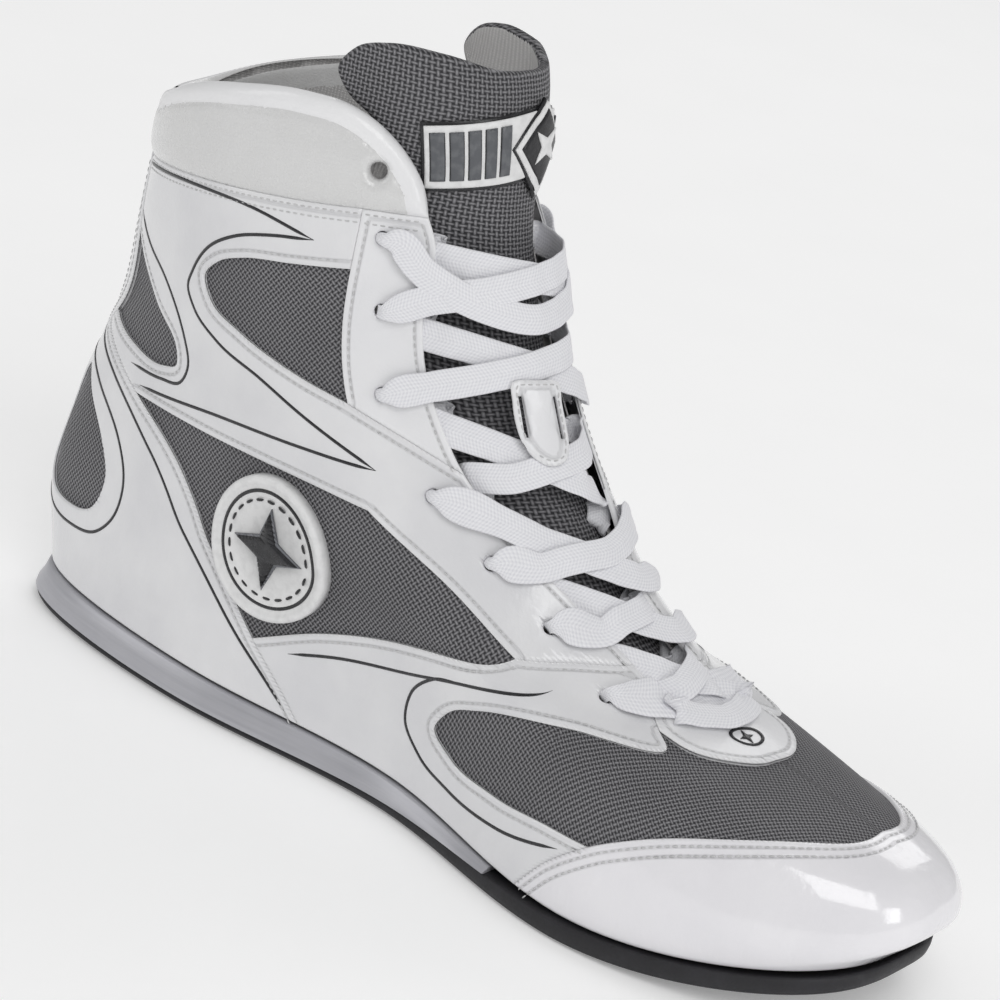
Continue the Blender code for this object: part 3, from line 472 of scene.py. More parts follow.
@dataclass(frozen=True)
class MouldedFinish:
    """Moulded rubber or lacquer of one colour, with faint wear."""

    colour: Colour = (0.012, 0.012, 0.014)
    worn: Colour = (0.03, 0.03, 0.034)
    roughness: float = 0.28
    grain: float = 0.04

    def make(self, name: str) -> Any:
        """Build the material."""
        graph = Graph(name)
        wear = graph.noise(2.5, 4.0).step(0.58, 0.14)
        graph.surface(
            Base_Color=graph.mix(wear, self.colour, self.worn),
            Roughness=self.roughness + 0.14 * (graph.noise(1.6) - 0.5),
        )
        graph.bump(graph.noise(0.7, 3.0), self.grain)
        return graph.material


@dataclass(frozen=True)
class FeltFinish:
    """Pressed fibre or board."""

    colour: Colour = (0.42, 0.34, 0.24)
    size: float = 0.6

    def make(self, name: str) -> Any:
        """Build the material."""
        graph = Graph(name)
        fibres = graph.noise(self.size, 5.0)
        graph.surface(
            Base_Color=graph.mix(fibres, tuple(c * 0.6 for c in self.colour), self.colour), Roughness=0.93
        )
        graph.bump(fibres, 0.15)
        return graph.material


class Finish(Enum):
    """Every finish on the boot."""

    SIDE = PatentFinish()
    TOE = PatentFinish(
        colour=(0.86, 0.85, 0.875),
        shade=(0.80, 0.79, 0.82),
        roughness=0.16,
        coat=0.9,
        grain=0.02,
        crease=0.5,
        channels=(2.1, 4.6),
    )
    STAY = PatentFinish(
        colour=(0.84, 0.84, 0.85),
        shade=(0.77, 0.77, 0.79),
        roughness=0.33,
        coat=0.3,
        grain=0.08,
        crease=0.3,
    )
    MESH = WeaveFinish()
    TONGUE = WeaveFinish(pitch=1.3, depth=0.45, turn=0.0)
    COLLAR = CollarFinish()
    LINING = KnitFinish()
    BACKING = KnitFinish(colour=(0.35, 0.35, 0.36), rib=0.9)
    LACE = LaceFinish()
    RUBBER = RubberFinish()
    BAND = BandFinish()
    THREAD = MouldedFinish(colour=(0.62, 0.62, 0.62), worn=(0.50, 0.50, 0.50), roughness=0.6, grain=0.08)
    BLACK = MouldedFinish()
    WHITE = MouldedFinish(colour=(0.80, 0.80, 0.80), worn=(0.70, 0.70, 0.70), roughness=0.36)
    CHARCOAL = MouldedFinish(colour=(0.095, 0.10, 0.11), worn=(0.15, 0.155, 0.165), roughness=0.34)
    # Grey of the painted shadow round the badge star.
    GREY = MouldedFinish(colour=(0.16, 0.165, 0.18), worn=(0.22, 0.22, 0.24), roughness=0.4)
    BOARD = FeltFinish()
    STIFFENER = FeltFinish(colour=(0.6, 0.58, 0.52), size=0.9)

    @property
    def material_name(self) -> str:
        """The name of its material."""
        return f"boot_{self.name.lower()}"

    def material(self) -> Any:
        """The material, built the first time that it is asked for."""
        return bpy.data.materials.get(self.material_name) or self.value.make(self.material_name)


# Shape of the upper


def unit(vectors: np.ndarray) -> np.ndarray:
    """Rows of vectors, scaled to a length of one."""
    return vectors / (np.linalg.norm(vectors, axis=1, keepdims=True) + 1e-9)


def run(points: np.ndarray) -> np.ndarray:
    """How far along a line each of its points is."""
    return np.concatenate([[0], np.cumsum(np.linalg.norm(np.diff(points, axis=0), axis=1))])


def blended(keys: Sequence[float], values: Any, where: Any) -> np.ndarray:
    """A smooth curve through values at keys.

    Args:
        keys: Increasing places of the values.
        values: One number or one row at each key.
        where: Where to read the curve.

    Returns:
        The curve at each place, clamped to its ends.
    """
    keys = np.asarray(keys, float)
    values = np.asarray(values, float)
    table = values.reshape(len(keys), -1)
    steps = np.diff(keys)
    slopes = np.diff(table, axis=0) / steps[:, None]
    tangents = np.empty_like(table)
    weights = (steps[1:] + steps[:-1])[:, None]
    tangents[1:-1] = (slopes[:-1] * steps[1:, None] + slopes[1:] * steps[:-1, None]) / weights
    tangents[0] = slopes[0]
    tangents[-1] = slopes[-1]
    where = np.clip(np.asarray(where, float), keys[0], keys[-1])
    cell = np.clip(np.searchsorted(keys, where, side="right") - 1, 0, len(keys) - 2)
    step = steps[cell][..., None]
    u = ((where - keys[cell]) / steps[cell])[..., None]
    result = (
        (2 * u**3 - 3 * u**2 + 1) * table[cell]
        + (u**3 - 2 * u**2 + u) * step * tangents[cell]
        + (3 * u**2 - 2 * u**3) * table[cell + 1]
        + (u**3 - u**2) * step * tangents[cell + 1]
    )
    return result[..., 0] if values.ndim == 1 else result


@dataclass(frozen=True)
class Upper:
    """The upper's outer surface, by (angle, height), in millimetres from the heel."""

    front_shares: tuple[float, ...] = (0, 10, 20, 30, 40, 50, 60, 70, 80, 90, 100, 115, 125)
    front_line: Places = (
        (290, 17.5), (299, 27), (294, 40), (269, 48), (232, 54), (200, 69), (177, 90), (158, 113),
        (146, 136), (138, 155), (131, 172), (122, 196), (116, 212),
    )
    back_shares: tuple[float, ...] = (0, 20, 40, 60, 80, 100, 115, 125)
    back_line: Places = (
        (7, 11), (-1.5, 38), (3, 68), (11.5, 96), (14, 125), (17.5, 157), (21, 181), (23.4, 197),
    )
    medial: tuple[tuple[float, ...], ...] = (
        (38, 36.5, 31, 51, 51), (34, 36, 37, 37, 30), (36, 41, 42, 40, 34)
    )
    lateral: tuple[tuple[float, ...], ...] = (
        (38, 37, 36, 51, 47), (34, 36, 37, 37, 30), (30, 33, 33, 31, 28)
    )
    spring: float = 12.0
    spring_start: float = 215.0

    def toe_lift(self, x: Any) -> np.ndarray:
        """How far the sole curls up at x."""
        return self.spring * np.clip((np.asarray(x, float) - self.spring_start) / 75.0, 0, None) ** 2

    def outsole_top(self, x: Any) -> np.ndarray:
        """Height of the outsole's top at x."""
        return blended((0, 150, 200, 290), (2.6, 2.9, 5.0, 5.2), x) + self.toe_lift(x)

    def feather(self, x: Any) -> np.ndarray:
        """Height of the feather line at x."""
        return self.outsole_top(x) + blended((0, 80, 150, 205, 290), (8.2, 7.8, 5.6, 0.6, 0.6), x)

    def half_width(self, theta: np.ndarray, height: Any) -> np.ndarray:
        """Half width of the loop at theta, before its ends are rounded."""
        share = np.asarray(height, float) / 100
        along = (1 + np.cos(theta)) / 2
        weights = np.stack(
            [
                np.clip(1 - share / 0.5, 0, 1),
                np.clip(1 - abs(share - 0.5) / 0.5, 0, 1),
                np.clip((share - 0.5) / 0.5, 0, 1),
            ],
            -1,
        )
        weights = weights**2 * (3 - 2 * weights)
        weights /= weights.sum(-1, keepdims=True)
        stations = (0, 0.25, 0.5, 0.75, 1.0)
        medial = np.stack([blended(stations, row, along) for row in self.medial], -1)
        lateral = np.stack([blended(stations, row, along) for row in self.lateral], -1)
        return (np.where((np.sin(theta) < 0)[..., None], medial, lateral) * weights).sum(-1)

    def point(self, angle: Any, height: Any) -> np.ndarray:
        """The surface at (angle, height).

        Args:
            angle: Degrees round the boot from the lacing, negative on the medial side.
            height: Percent from the feather line to the collar.

        Returns:
            Points in millimetres from the heel.
        """
        angle, height = np.broadcast_arrays(np.asarray(angle, float), np.asarray(height, float))
        turn = np.cos(np.radians(angle))
        front_shift = blended(
            (0, 40, 47, 55, 65, 75, 85, 95, 110), (0, -4, -8, -18, -19, -15, -6, 2, 4), height
        )
        back_shift = blended((0, 45, 62, 85, 110), (0, 0, 22, 22, 8), height)
        theta = np.radians(angle + front_shift * ((1 + turn) / 2) ** 2 + back_shift * ((1 - turn) / 2) ** 4)
        front = blended(self.front_shares, self.front_line, height)
        back = blended(self.back_shares, self.back_line, height)
        along = (1 + np.cos(theta)) / 2
        x = back[..., 0] + (front[..., 0] - back[..., 0]) * along
        z = back[..., 1] + (front[..., 1] - back[..., 1]) * along
        z = z + (self.feather(x) - (11 + 6.5 * along)) * np.clip(1 - height / 35, 0, 1) ** 2
        bend = np.abs(np.sin(theta)) ** blended((0, 30, 50, 115), (0.62, 0.80, 0.90, 0.80), height)
        return np.stack([x, self.half_width(theta, height) * np.sign(np.sin(theta)) * bend, z], -1)

    def tangents(self, angle: Any, height: Any) -> tuple[np.ndarray, np.ndarray]:
        """Change of place for one degree and for one percent."""
        angle = np.asarray(angle)
        across = (self.point(angle + 0.6, height) - self.point(angle - 0.6, height)) / 1.2
        up = (self.point(angle, np.asarray(height) + 0.6) - self.point(angle, np.asarray(height) - 0.6)) / 1.2
        return across, up

    def normal(self, angle: Any, height: Any) -> np.ndarray:
        """Outward unit normals."""
        across, up = self.tangents(angle, np.clip(height, 1.0, 124.0))
        found = np.cross(across, up)
        return found / (np.linalg.norm(found, axis=-1, keepdims=True) + 1e-12)

    def on(self, rows: Line) -> np.ndarray:
        """The surface at rows of (angle, height)."""
        return self.point(rows[:, 0], rows[:, 1])

    def out(self, rows: Line) -> np.ndarray:
        """Outward unit normals at rows of (angle, height)."""
        return self.normal(rows[:, 0], rows[:, 1])

    def at(self, angle: Any, height: Any, lift: Any = 0.0) -> np.ndarray:
        """Points lifted off the surface, in millimetres from the heel."""
        lift = np.asarray(lift, float)[..., None]
        return self.point(angle, height) + self.normal(angle, height) * lift

    def walk(self, centre: Spot, along: np.ndarray, rise: np.ndarray) -> np.ndarray:
        """Places reached over the surface from a centre.

        Args:
            centre: The (angle, height) to start from.
            along: Millimetres towards the toe.
            rise: Millimetres up.

        Returns:
            Rows of (angle, height).
        """
        across, up = self.tangents(*centre)
        out = np.cross(across, up)
        upward = np.array([0, 0, 1.0]) - out * out[2] / (out @ out)
        upward /= np.linalg.norm(upward)
        forward = np.cross(upward, out)
        forward *= np.sign(forward[0]) / np.linalg.norm(forward)
        place = np.tile(np.asarray(centre, float), (len(along), 1))
        for _ in range(8):
            pair = np.stack(self.tangents(place[:, 0], place[:, 1]), axis=-1)
            step = (forward[None] * along[:, None] + upward[None] * rise[:, None]) / 8
            place += np.einsum("nij,nj->ni", np.linalg.pinv(pair), step)
        return place


UPPER = Upper()


def in_row(points: np.ndarray) -> np.ndarray:
    """Millimetres from the heel, as metres in the row's frame."""
    return (np.asarray(points, float) - ORIGIN) * MM


# Outlines


def smooth(points: Sequence[Spot], step: float = 1.4) -> Line:
    """A dense smooth line through pattern points, about step millimetres apart."""
    rows = np.asarray(points, float)
    places = UPPER.on(rows)
    lengths = np.maximum(np.linalg.norm(np.diff(places, axis=0), axis=1), 0.2)
    keys = np.concatenate([[0], np.cumsum(lengths)])
    where = []
    for k, length in enumerate(lengths):
        where += list(np.linspace(keys[k], keys[k + 1], max(int(length / step), 2), endpoint=False))
    return blended(keys, rows, np.array([*where, keys[-1]]))


def smooth_loop(points: Sequence[Spot]) -> Line:
    """A dense smooth closed outline through pattern points."""
    rows = list(points)
    padded = rows[-3:] + rows + rows[:3]
    line = smooth(padded)
    first = int(np.argmin(np.abs(line - np.asarray(rows[0], float)).sum(axis=1)))
    rest = line[first + 4:]
    last = first + 4 + int(np.argmin(np.abs(rest - np.asarray(rows[0], float)).sum(axis=1)))
    return line[first:last]


def mirrored(line: Line) -> Line:
    """The same line on the other side of the boot."""
    return np.asarray(line) * (-1.0, 1.0)


@dataclass
class Edge:
    """One side of a panel's outline, and its stitch rows in millimetres from the edge."""

    line: Line
    rows: tuple[float, ...] = ()

    def reversed(self) -> "Edge":
        """The edge run the other way."""
        return Edge(self.line[::-1], self.rows)

    def mirrored(self) -> "Edge":
        """The edge on the other side of the boot."""
        return Edge(mirrored(self.line), self.rows)

    def between(self, first: Spot, last: Spot) -> "Edge":
        """The part from the point nearest first to the one nearest last."""
        picks = [int(np.argmin(np.abs(self.line - np.asarray(p)).sum(axis=1))) for p in (first, last)]
        low, high = min(picks), max(picks)
        return Edge(self.line[low:high + 1], self.rows)


def joined(lines: Iterable[tuple[Line, bool]], either: Any) -> tuple[Line, np.ndarray]:
    """Lines joined into a closed outline.

    Args:
        lines: Each line with a flag for its points.
        either: The flag of a point that two lines share, from both of theirs.

    Returns:
        The outline's points, and the flag of each.
    """
    rows, flags = [], []
    for points, flag in lines:
        for point in points:
            if rows and abs(point - rows[-1]).sum() < SAME_POINT:
                flags[-1] = either((flags[-1], flag))
                continue
            rows.append(point)
            flags.append(flag)
    if abs(rows[0] - rows[-1]).sum() < SAME_POINT:
        rows.pop()
        flags.pop()
    return np.array(rows), np.array(flags)


@dataclass
class Outline:
    """A panel's closed outline, edge by edge."""

    edges: list[Edge]

    def loop(self) -> tuple[Line, np.ndarray]:
        """The closed outline, and whether each of its points is on a stitched edge."""
        return joined([(edge.line, bool(edge.rows)) for edge in self.edges], any)

    def mirrored(self) -> "Outline":
        """The outline on the other side of the boot."""
        return Outline([edge.mirrored() for edge in self.edges])


def winding(loop: Line) -> float:
    """1 for a loop that runs anticlockwise, and -1 for one that doesn't."""
    after = np.roll(loop, -1, axis=0)
    return 1.0 if (loop[:, 0] * after[:, 1] - after[:, 0] * loop[:, 1]).sum() > 0 else -1.0


def within(loop: Line, points: np.ndarray) -> np.ndarray:
    """Which points are inside a closed loop."""
    x, y = points[:, 0][:, None], points[:, 1][:, None]
    x0, y0 = loop[:, 0][None], loop[:, 1][None]
    x1, y1 = np.roll(loop[:, 0], -1)[None], np.roll(loop[:, 1], -1)[None]
    spans = (y0 > y) != (y1 > y)
    cross = x < x0 + (y - y0) * (x1 - x0) / np.where(np.abs(y1 - y0) < 1e-12, 1e-12, y1 - y0)
    return (spans & cross).sum(axis=1) % 2 == 1


def distance_to(points: np.ndarray, starts: np.ndarray, ends: np.ndarray) -> np.ndarray:
    """Smallest distance from each point to any of the segments."""
    if not len(starts):
        return np.full(len(points), 99.0)
    found = np.full(len(points), 1e9)
    for low in range(0, len(points), 800):
        part = points[low:low + 800, None]
        way = (ends - starts)[None]
        share = ((part - starts[None]) * way).sum(-1) / np.maximum((way**2).sum(-1), 1e-9)
        nearest = starts[None] + way * np.clip(share, 0, 1)[..., None]
        found[low:low + 800] = np.linalg.norm(part - nearest, axis=-1).min(axis=1)
    return found


# Meshes


@contextmanager
def editing(mesh: Any) -> Iterator[Any]:
    """A bmesh of a mesh, which is written back at the end."""
    bm = bmesh.new()
    bm.from_mesh(mesh)
    yield bm
    bm.to_mesh(mesh)
    bm.free()


def put(name: str, data: Any) -> Any:
    """A new object in the scene."""
    made = bpy.data.objects.new(name, data)
    bpy.context.scene.collection.objects.link(made)
    return made


def add_mesh(
    name: str,
    vertices: np.ndarray,
    faces: Iterable[Sequence[int]],
    finish: Finish,
    uv: np.ndarray | None = None,
) -> Any:
    """Make a smooth mesh object from points in millimetres from the heel.

    Args:
        name: The piece's name.
        vertices: Its points.
        faces: Its faces, as lists of point numbers.
        finish: Its finish.
        uv: Flat coordinates in millimetres for each point, for woven finishes.

    Returns:
        The object, in the row's frame.
    """
    mesh = bpy.data.meshes.new(name)
    mesh.from_pydata([tuple(p) for p in in_row(vertices)], [], [list(face) for face in faces])
    mesh.validate()
    mesh.shade_smooth()
    mesh.materials.append(finish.material())
    layer = mesh.uv_layers.new(name="mm")
    flat = uv if uv is not None else np.asarray(vertices, float)[:, [0, 2]]
    picked = np.array([loop.vertex_index for loop in mesh.loops])
    layer.data.foreach_set("uv", np.asarray(flat, np.float32)[picked].ravel())
    return put(name, mesh)


def facing_out(obj: Any) -> None:
    """Turn the faces outward."""
    with editing(obj.data) as bm:
        bmesh.ops.recalc_face_normals(bm, faces=bm.faces)


def grid_faces(rows: int, columns: int, closed: bool = False) -> list[list[int]]:
    """Faces of a grid of points, row after row, each row closed into a ring if asked."""
    faces = []
    for low in range(0, (rows - 1) * columns, columns):
        for j in range(columns if closed else columns - 1):
            after = (j + 1) % columns
            faces.append([low + j, low + columns + j, low + columns + after, low + after])
    return faces


def join_mesh(target: Any, others: Sequence[Any]) -> Any:
    """Join objects into one, each keeping its material."""
    for other in others:
        first = len(target.data.materials)
        for material in other.data.materials:
            target.data.materials.append(material)
        with editing(target.data) as bm:
            before = len(bm.faces)
            bm.from_mesh(other.data)
            bm.faces.ensure_lookup_table()
            for face in bm.faces[before:]:
                face.material_index += first
        bpy.data.objects.remove(other)
    return target


def side_flat(points: np.ndarray) -> np.ndarray:
    """Flat coordinates for the boot's sides."""
    return points[:, [0, 2]]


def top_flat(points: np.ndarray) -> np.ndarray:
    """Flat coordinates for the top of the forefoot, let out towards its sides."""
    ridge = np.interp(points[:, 0], (200, 232, 269, 294, 299), (69, 54, 48, 40, 27))
    drop = np.clip(ridge - points[:, 2], 0, None)
    return np.stack([points[:, 0] * 1.03, points[:, 1] + np.sign(points[:, 1]) * 0.82 * drop], -1)


class Thread:
    """Rows of stitches, each one a small rounded length of thread."""

    def __init__(self, radius: float = 0.23, length: float = 1.55, pitch: float = 2.1) -> None:
        """Set the thread's size in millimetres."""
        self.radius = radius
        self.length = length
        self.pitch = pitch
        self.vertices: list[np.ndarray] = []
        self.faces: list[list[int]] = []

    def row(self, points: np.ndarray, outward: np.ndarray) -> None:
        """Sew along a line.

        Args:
            points: The line, in millimetres.
            outward: Unit normals along it.
        """
        lengths = run(points)
        count = int((lengths[-1] - 1.5) / self.pitch)
        for k in range(count):
            start = 0.9 + k * self.pitch
            ends = np.array([start, start + self.length])
            tips = np.stack([np.interp(ends, lengths, points[:, c]) for c in range(3)], -1)
            normal = np.array([np.interp(ends.mean(), lengths, outward[:, c]) for c in range(3)])
            self.stitch(tips[0], tips[1], normal)

    def stitch(self, start: np.ndarray, end: np.ndarray, normal: np.ndarray) -> None:
        """Add one stitch between two points."""
        way = end - start
        size = np.linalg.norm(way)
        if size < 0.2:
            return
        way = way / size
        side = np.cross(normal, way)
        side /= np.linalg.norm(side) + 1e-9
        up = np.cross(way, side)
        first = sum(len(v) for v in self.vertices)
        rings = []
        for share, swell, lift in (
            (0.0, 0.35, -0.10),
            (0.16, 0.9, 0.02),
            (0.5, 1.0, 0.07),
            (0.84, 0.9, 0.02),
            (1.0, 0.35, -0.10),
        ):
            centre = start + way * size * share + up * lift
            for j in range(5):
                turn = 2 * math.pi * (j + 0.25) / 5
                rings.append(
                    centre + (side * math.cos(turn) + up * 0.8 * math.sin(turn)) * self.radius * swell
                )
        self.vertices.append(np.array(rings))
        for i in range(4):
            for j in range(5):
                a, b = first + i * 5 + j, first + i * 5 + (j + 1) % 5
                self.faces.append([a, b, b + 5, a + 5])
        self.faces.append([first + j for j in range(4, -1, -1)])
        self.faces.append([first + 20 + j for j in range(5)])

    def build(self, name: str, finish: Finish = Finish.THREAD) -> Any | None:
        """Make the stitches' object, or nothing if there are none."""
        if not self.faces:
            return None
        return add_mesh(name, np.concatenate(self.vertices), self.faces, finish)


@dataclass
class Net:
    """Triangles over a region of the upper."""

    pattern: np.ndarray
    triangles: np.ndarray
    base: np.ndarray
    out: np.ndarray
    gap: np.ndarray
    rim: np.ndarray


@dataclass
class Cutter:
    """Cuts panels out of the upper's surface, with rounded edges and sewn rims."""

    step: float = 2.3
    rounding: float = 0.55

    def grid(self, loop: Line, step: float) -> np.ndarray:
        """Pattern points inside a loop, about step millimetres apart."""
        low, high = loop.min(axis=0), loop.max(axis=0)
        middle = loop.mean(axis=0)
        across, up = UPPER.tangents(*middle)
        da, dh = step / np.linalg.norm(across), step / np.linalg.norm(up)
        angles, heights = np.meshgrid(
            np.arange(low[0] + da / 2, high[0], da), np.arange(low[1] + dh / 2, high[1], dh)
        )
        angles = angles + (np.arange(len(angles)) % 2)[:, None] * da / 2
        return np.stack([angles.ravel(), heights.ravel()], -1)

    def inset(self, loop: Line, distance: float, inward: float) -> np.ndarray:
        """The loop's points moved in over the surface."""
        across, up = UPPER.tangents(loop[:, 0], loop[:, 1])
        places = UPPER.on(loop)
        way = np.roll(places, -1, axis=0) - np.roll(places, 1, axis=0)
        way = unit(way)
        inner = np.cross(UPPER.out(loop), way) * inward
        pair = np.stack([across, up], axis=-1)
        return loop + np.einsum("nij,nj->ni", np.linalg.pinv(pair), inner * distance)

    def net(self, loops: Sequence[Line], step: float, insets: Sequence[float], floor: float) -> "Net":
        """Triangulate a region of the pattern.

        Args:
            loops: Its closed outline, then its holes.
            step: Spacing of its inner points in millimetres.
            insets: Distances from the edges at which to add rows of points.
            floor: Smallest distance of an added point from the edges.

        Returns:
            The triangles and what is known at their corners.
        """
        places = [UPPER.on(part) for part in loops]
        starts = np.concatenate(places)
        ends = np.concatenate([np.roll(part, -1, axis=0) for part in places])
        inner = [self.grid(loops[0], step)]
        for distance in insets:
            for k, part in enumerate(loops):
                inner.append(self.inset(part, distance, winding(part) * (-1.0 if k else 1.0)))
        extra = np.concatenate(inner)
        keep = within(loops[0], extra)
        for hole in loops[1:]:
            keep &= ~within(hole, extra)
        extra = extra[keep]
        gap = distance_to(UPPER.on(extra), starts, ends)
        wanted = gap > floor
        from_grid = int(keep[:len(inner[0])].sum())
        wanted[:from_grid] &= gap[:from_grid] > max([step * 0.45, *[d * 1.15 for d in insets if d < 4.0]])
        extra = extra[wanted]
        points, edges = [], []
        for part in loops:
            first = len(points)
            points += [Vector(place) for place in part * CDT_SCALE]
            edges += [(first + k, first + (k + 1) % len(part)) for k in range(len(part))]
        points += [Vector(place) for place in extra * CDT_SCALE]
        flat_points, _, faces, _, _, _ = delaunay_2d_cdt(points, edges, [], 0, 1e-6)
        pattern = np.array([tuple(p) for p in flat_points]) / CDT_SCALE
        triangles = np.array([face for face in faces if len(face) == 3])
        middles = pattern[triangles].mean(axis=1)
        keep = within(loops[0], middles)
        for hole in loops[1:]:
            keep &= ~within(hole, middles)
        triangles = triangles[keep]
        used, triangles = np.unique(triangles, return_inverse=True)
        triangles = triangles.reshape(-1, 3)
        pattern = pattern[used]
        base = UPPER.on(pattern)
        out = UPPER.out(pattern)
        gap = distance_to(base, starts, ends)
        sides = np.sort(
            np.concatenate([triangles[:, [0, 1]], triangles[:, [1, 2]], triangles[:, [2, 0]]]), axis=1
        )
        pairs, counts = np.unique(sides, axis=0, return_counts=True)
        return Net(pattern, triangles, base, out, gap, pairs[counts == 1])

    def cut(
        self,
        name: str,
        outline: Outline,
        finish: Finish,
        top: float = 0.0,
        bottom: float = -1.1,
        holes: Sequence[Line] = (),
        step: float | None = None,
        rounding: float | None = None,
        flat: Any = side_flat,
        lean: Any = None,
    ) -> Any:
        """Cut a panel.

        Args:
            name: The piece's name.
            outline: Its outline.
            finish: Its finish.
            top: Lift of its outer face.
            bottom: Lift of its inner edge.
            holes: Closed loops to leave open.
            step: Spacing of its inner points.
            rounding: Radius of its outer edge.
            flat: Function from points to flat coordinates.
            lean: Function from pattern points to extra lift.

        Returns:
            The panel's object.
        """
        step = step or self.step
        rounding = self.rounding if rounding is None else rounding
        loop, stitched = outline.loop()
        insets = (rounding * 0.3, rounding, max(rounding * 2.2, 1.2)) if rounding > 0 else ()
        net = self.net([loop, *holes], step, insets, rounding * 0.22 if rounding > 0 else step * 0.35)
        triangles, base, out, gap, rim = net.triangles, net.base, net.out, net.gap, net.rim
        drop = np.zeros(len(base))
        if rounding > 0:
            share = np.clip(gap / rounding, 0, 1)
            drop = rounding * (1 - np.sqrt(np.clip(1 - (1 - share) ** 2, 0, 1)))
        extra = lean(net.pattern) if lean else np.zeros(len(base))
        lift = top - drop + extra
        rim_points = np.unique(rim)
        below = {int(k): len(base) + n for n, k in enumerate(rim_points)}
        foot = base[rim_points] + out[rim_points] * (bottom + extra[rim_points])[:, None]
        vertices = np.concatenate([base + out * lift[:, None], foot])
        walls = [[int(a), int(b), below[int(b)], below[int(a)]] for a, b in rim]
        made = add_mesh(name, vertices, [*triangles.tolist(), *walls], finish, flat(vertices))
        seam_edges = [k for k in range(len(loop)) if stitched[k] and stitched[(k + 1) % len(loop)]]
        edge_places = UPPER.on(loop)
        seam = distance_to(base, edge_places[seam_edges], np.roll(edge_places, -1, axis=0)[seam_edges])
        seam = np.concatenate([seam, seam[rim_points]])
        attribute = made.data.attributes.new("seam", "FLOAT", "POINT")
        attribute.data.foreach_set("value", np.minimum(seam, 20.0).astype(np.float32))
        self.sew(made, outline, winding(loop), top)
        return made

    def sew(self, panel: Any, outline: Outline, inward: float, top: float) -> None:
        """Sew a panel's stitched edges."""
        thread = Thread()
        for edge in outline.edges:
            if len(edge.line) < 3:
                continue
            places = UPPER.point(edge.line[:, 0], edge.line[:, 1])
            out = UPPER.normal(edge.line[:, 0], edge.line[:, 1])
            way = np.gradient(places, axis=0)
            way = unit(way)
            inner = np.cross(out, way) * inward
            for distance in edge.rows:
                thread.row(places + inner * distance + out * (top - 0.04), out)
        sewn = thread.build(panel.name + "_stitches")
        if sewn:
            join_mesh(panel, [sewn])


CUT = Cutter()


def ribbon(name: str, lines: Sequence[Line], width: float, lift: float, finish: Finish) -> Any:
    """Thin raised lines laid on the upper, tapering at their ends.

    Args:
        name: The piece's name.
        lines: Dense pattern lines.
        width: Their width in millimetres.
        lift: How far their edges stand off the surface.
        finish: Their finish.

    Returns:
        The object.
    """
    vertices, faces = [], []
    for line in lines:
        places = UPPER.on(line)
        out = UPPER.out(line)
        way = np.gradient(places, axis=0)
        way = unit(way)
        side = np.cross(out, way)
        length = run(places)
        taper = np.clip(np.minimum(length, length[-1] - length) / 5.0, 0.12, 1.0)[:, None]
        first = len(vertices)
        for share, rise in ((-0.5, -0.15), (-0.36, 0.10), (0.0, 0.15), (0.36, 0.10), (0.5, -0.15)):
            vertices += list(places + side * width * share * taper + out * (lift + rise * taper))
        count = len(line)
        for band in range(4):
            for k in range(count - 1):
                a = first + band * count + k
                faces.append([a, a + 1, a + count + 1, a + count])
    return add_mesh(name, np.array(vertices), faces, finish)


class Joint(Enum):
    """Which body a piece is put on; flex and fold pieces are put on none."""

    BOOT = "boot"
    FLEX = "flex"
    FOLD = "fold"
    TOP = "tongue_top"


def fit(piece: Any, joint: Joint, *nodes: str) -> Any:
    """Put a piece in the place of its CAD nodes and, on the boot and tongue-top joints, on its body; a flex
    or fold piece is only baked in place.

    Args:
        piece: The object.
        joint: Which body it is put on; none for flex and fold.
        nodes: The CAD nodes that it stands for.

    Returns:
        The object.
    """
    if nodes:
        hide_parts(*nodes)
    if joint is Joint.FLEX:
        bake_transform(piece)
    elif joint is Joint.FOLD:
        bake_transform(piece)
    else:
        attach(piece, joint.value)
    LOG.info("%s: %d faces", piece.name, len(piece.data.polygons))
    return piece


# Pattern lines of the medial side

COLLAR_SEAM = 92.0
TOE_CAP_EDGE = ((-68, 0.5), (-66, 8), (-62, 13), (-57, 16.5), (-45, 21.5), (-27, 25.5), (0, 27.5))
HEEL_EDGE = ((-103, 0.5), (-110, 13), (-114.5, 26), (-119, 40), (-134, 46.5), (-152, 50), (-173, 52.5))
STAY_REAR = ((-61, COLLAR_SEAM), (-60.5, 83), (-60, 76), (-60, 66))
STAY_LOWER = ((-60, 66), (-45.2, 64.4), (-29, 62.2))
STAY_FRONT = (
    (-43, COLLAR_SEAM), (-39, 88), (-38.5, 82), (-36, 75), (-32.5, 68), (-29, 62.2), (-23, 58),
    (-18, 54), (-16.3, 50),
    (-16, 46.2), (-17, 43.5),
)
BAND_FRONT = ((-53, 41), (-56, 47.5), (-65, 53))
BAND_END = ((-53, 41), (-35, 44.2), (-16, 46.2))
TAB_SIDE = ((-17, 43.5), (-25, 41), (-31, 38))
TAB_FRONT = ((-31, 38), (-29, 36.2), (-15, 36.4), (0, 36.8))
TAB_REAR = ((-17, 43.5), (-13, 42.4), (-7, 41.9), (0, 41.8))
VAMP_WINDOW = (
    (-31, 38), (-35, 35.6), (-58, 31), (-77, 23.5), (-83, 19), (-85.5, 14.5), (-83, 11.5), (-76, 11),
    (-68, 12.5), (-62, 13),
)
QUARTER_LOWER = ((-53, 41), (-70, 34.5), (-86, 28), (-99, 21), (-110, 13))
ANKLE_LOWER = ((-65, 53), (-79, 52.4), (-95, 51.2), (-113, 49.2), (-134, 46.5))
ANKLE_WINDOW = (
    (-60.5, 83), (-78, 81.6), (-95, 80), (-105, 78), (-112, 74.8), (-109, 71.6), (-96, 69), (-78, 67),
    (-60, 66),
)
ACHILLES_WINDOW = (
    (-173, 55.5), (-150, 54.4), (-131, 55.4), (-126, 57.6), (-128, 60), (-145, 65), (-173, 74)
)
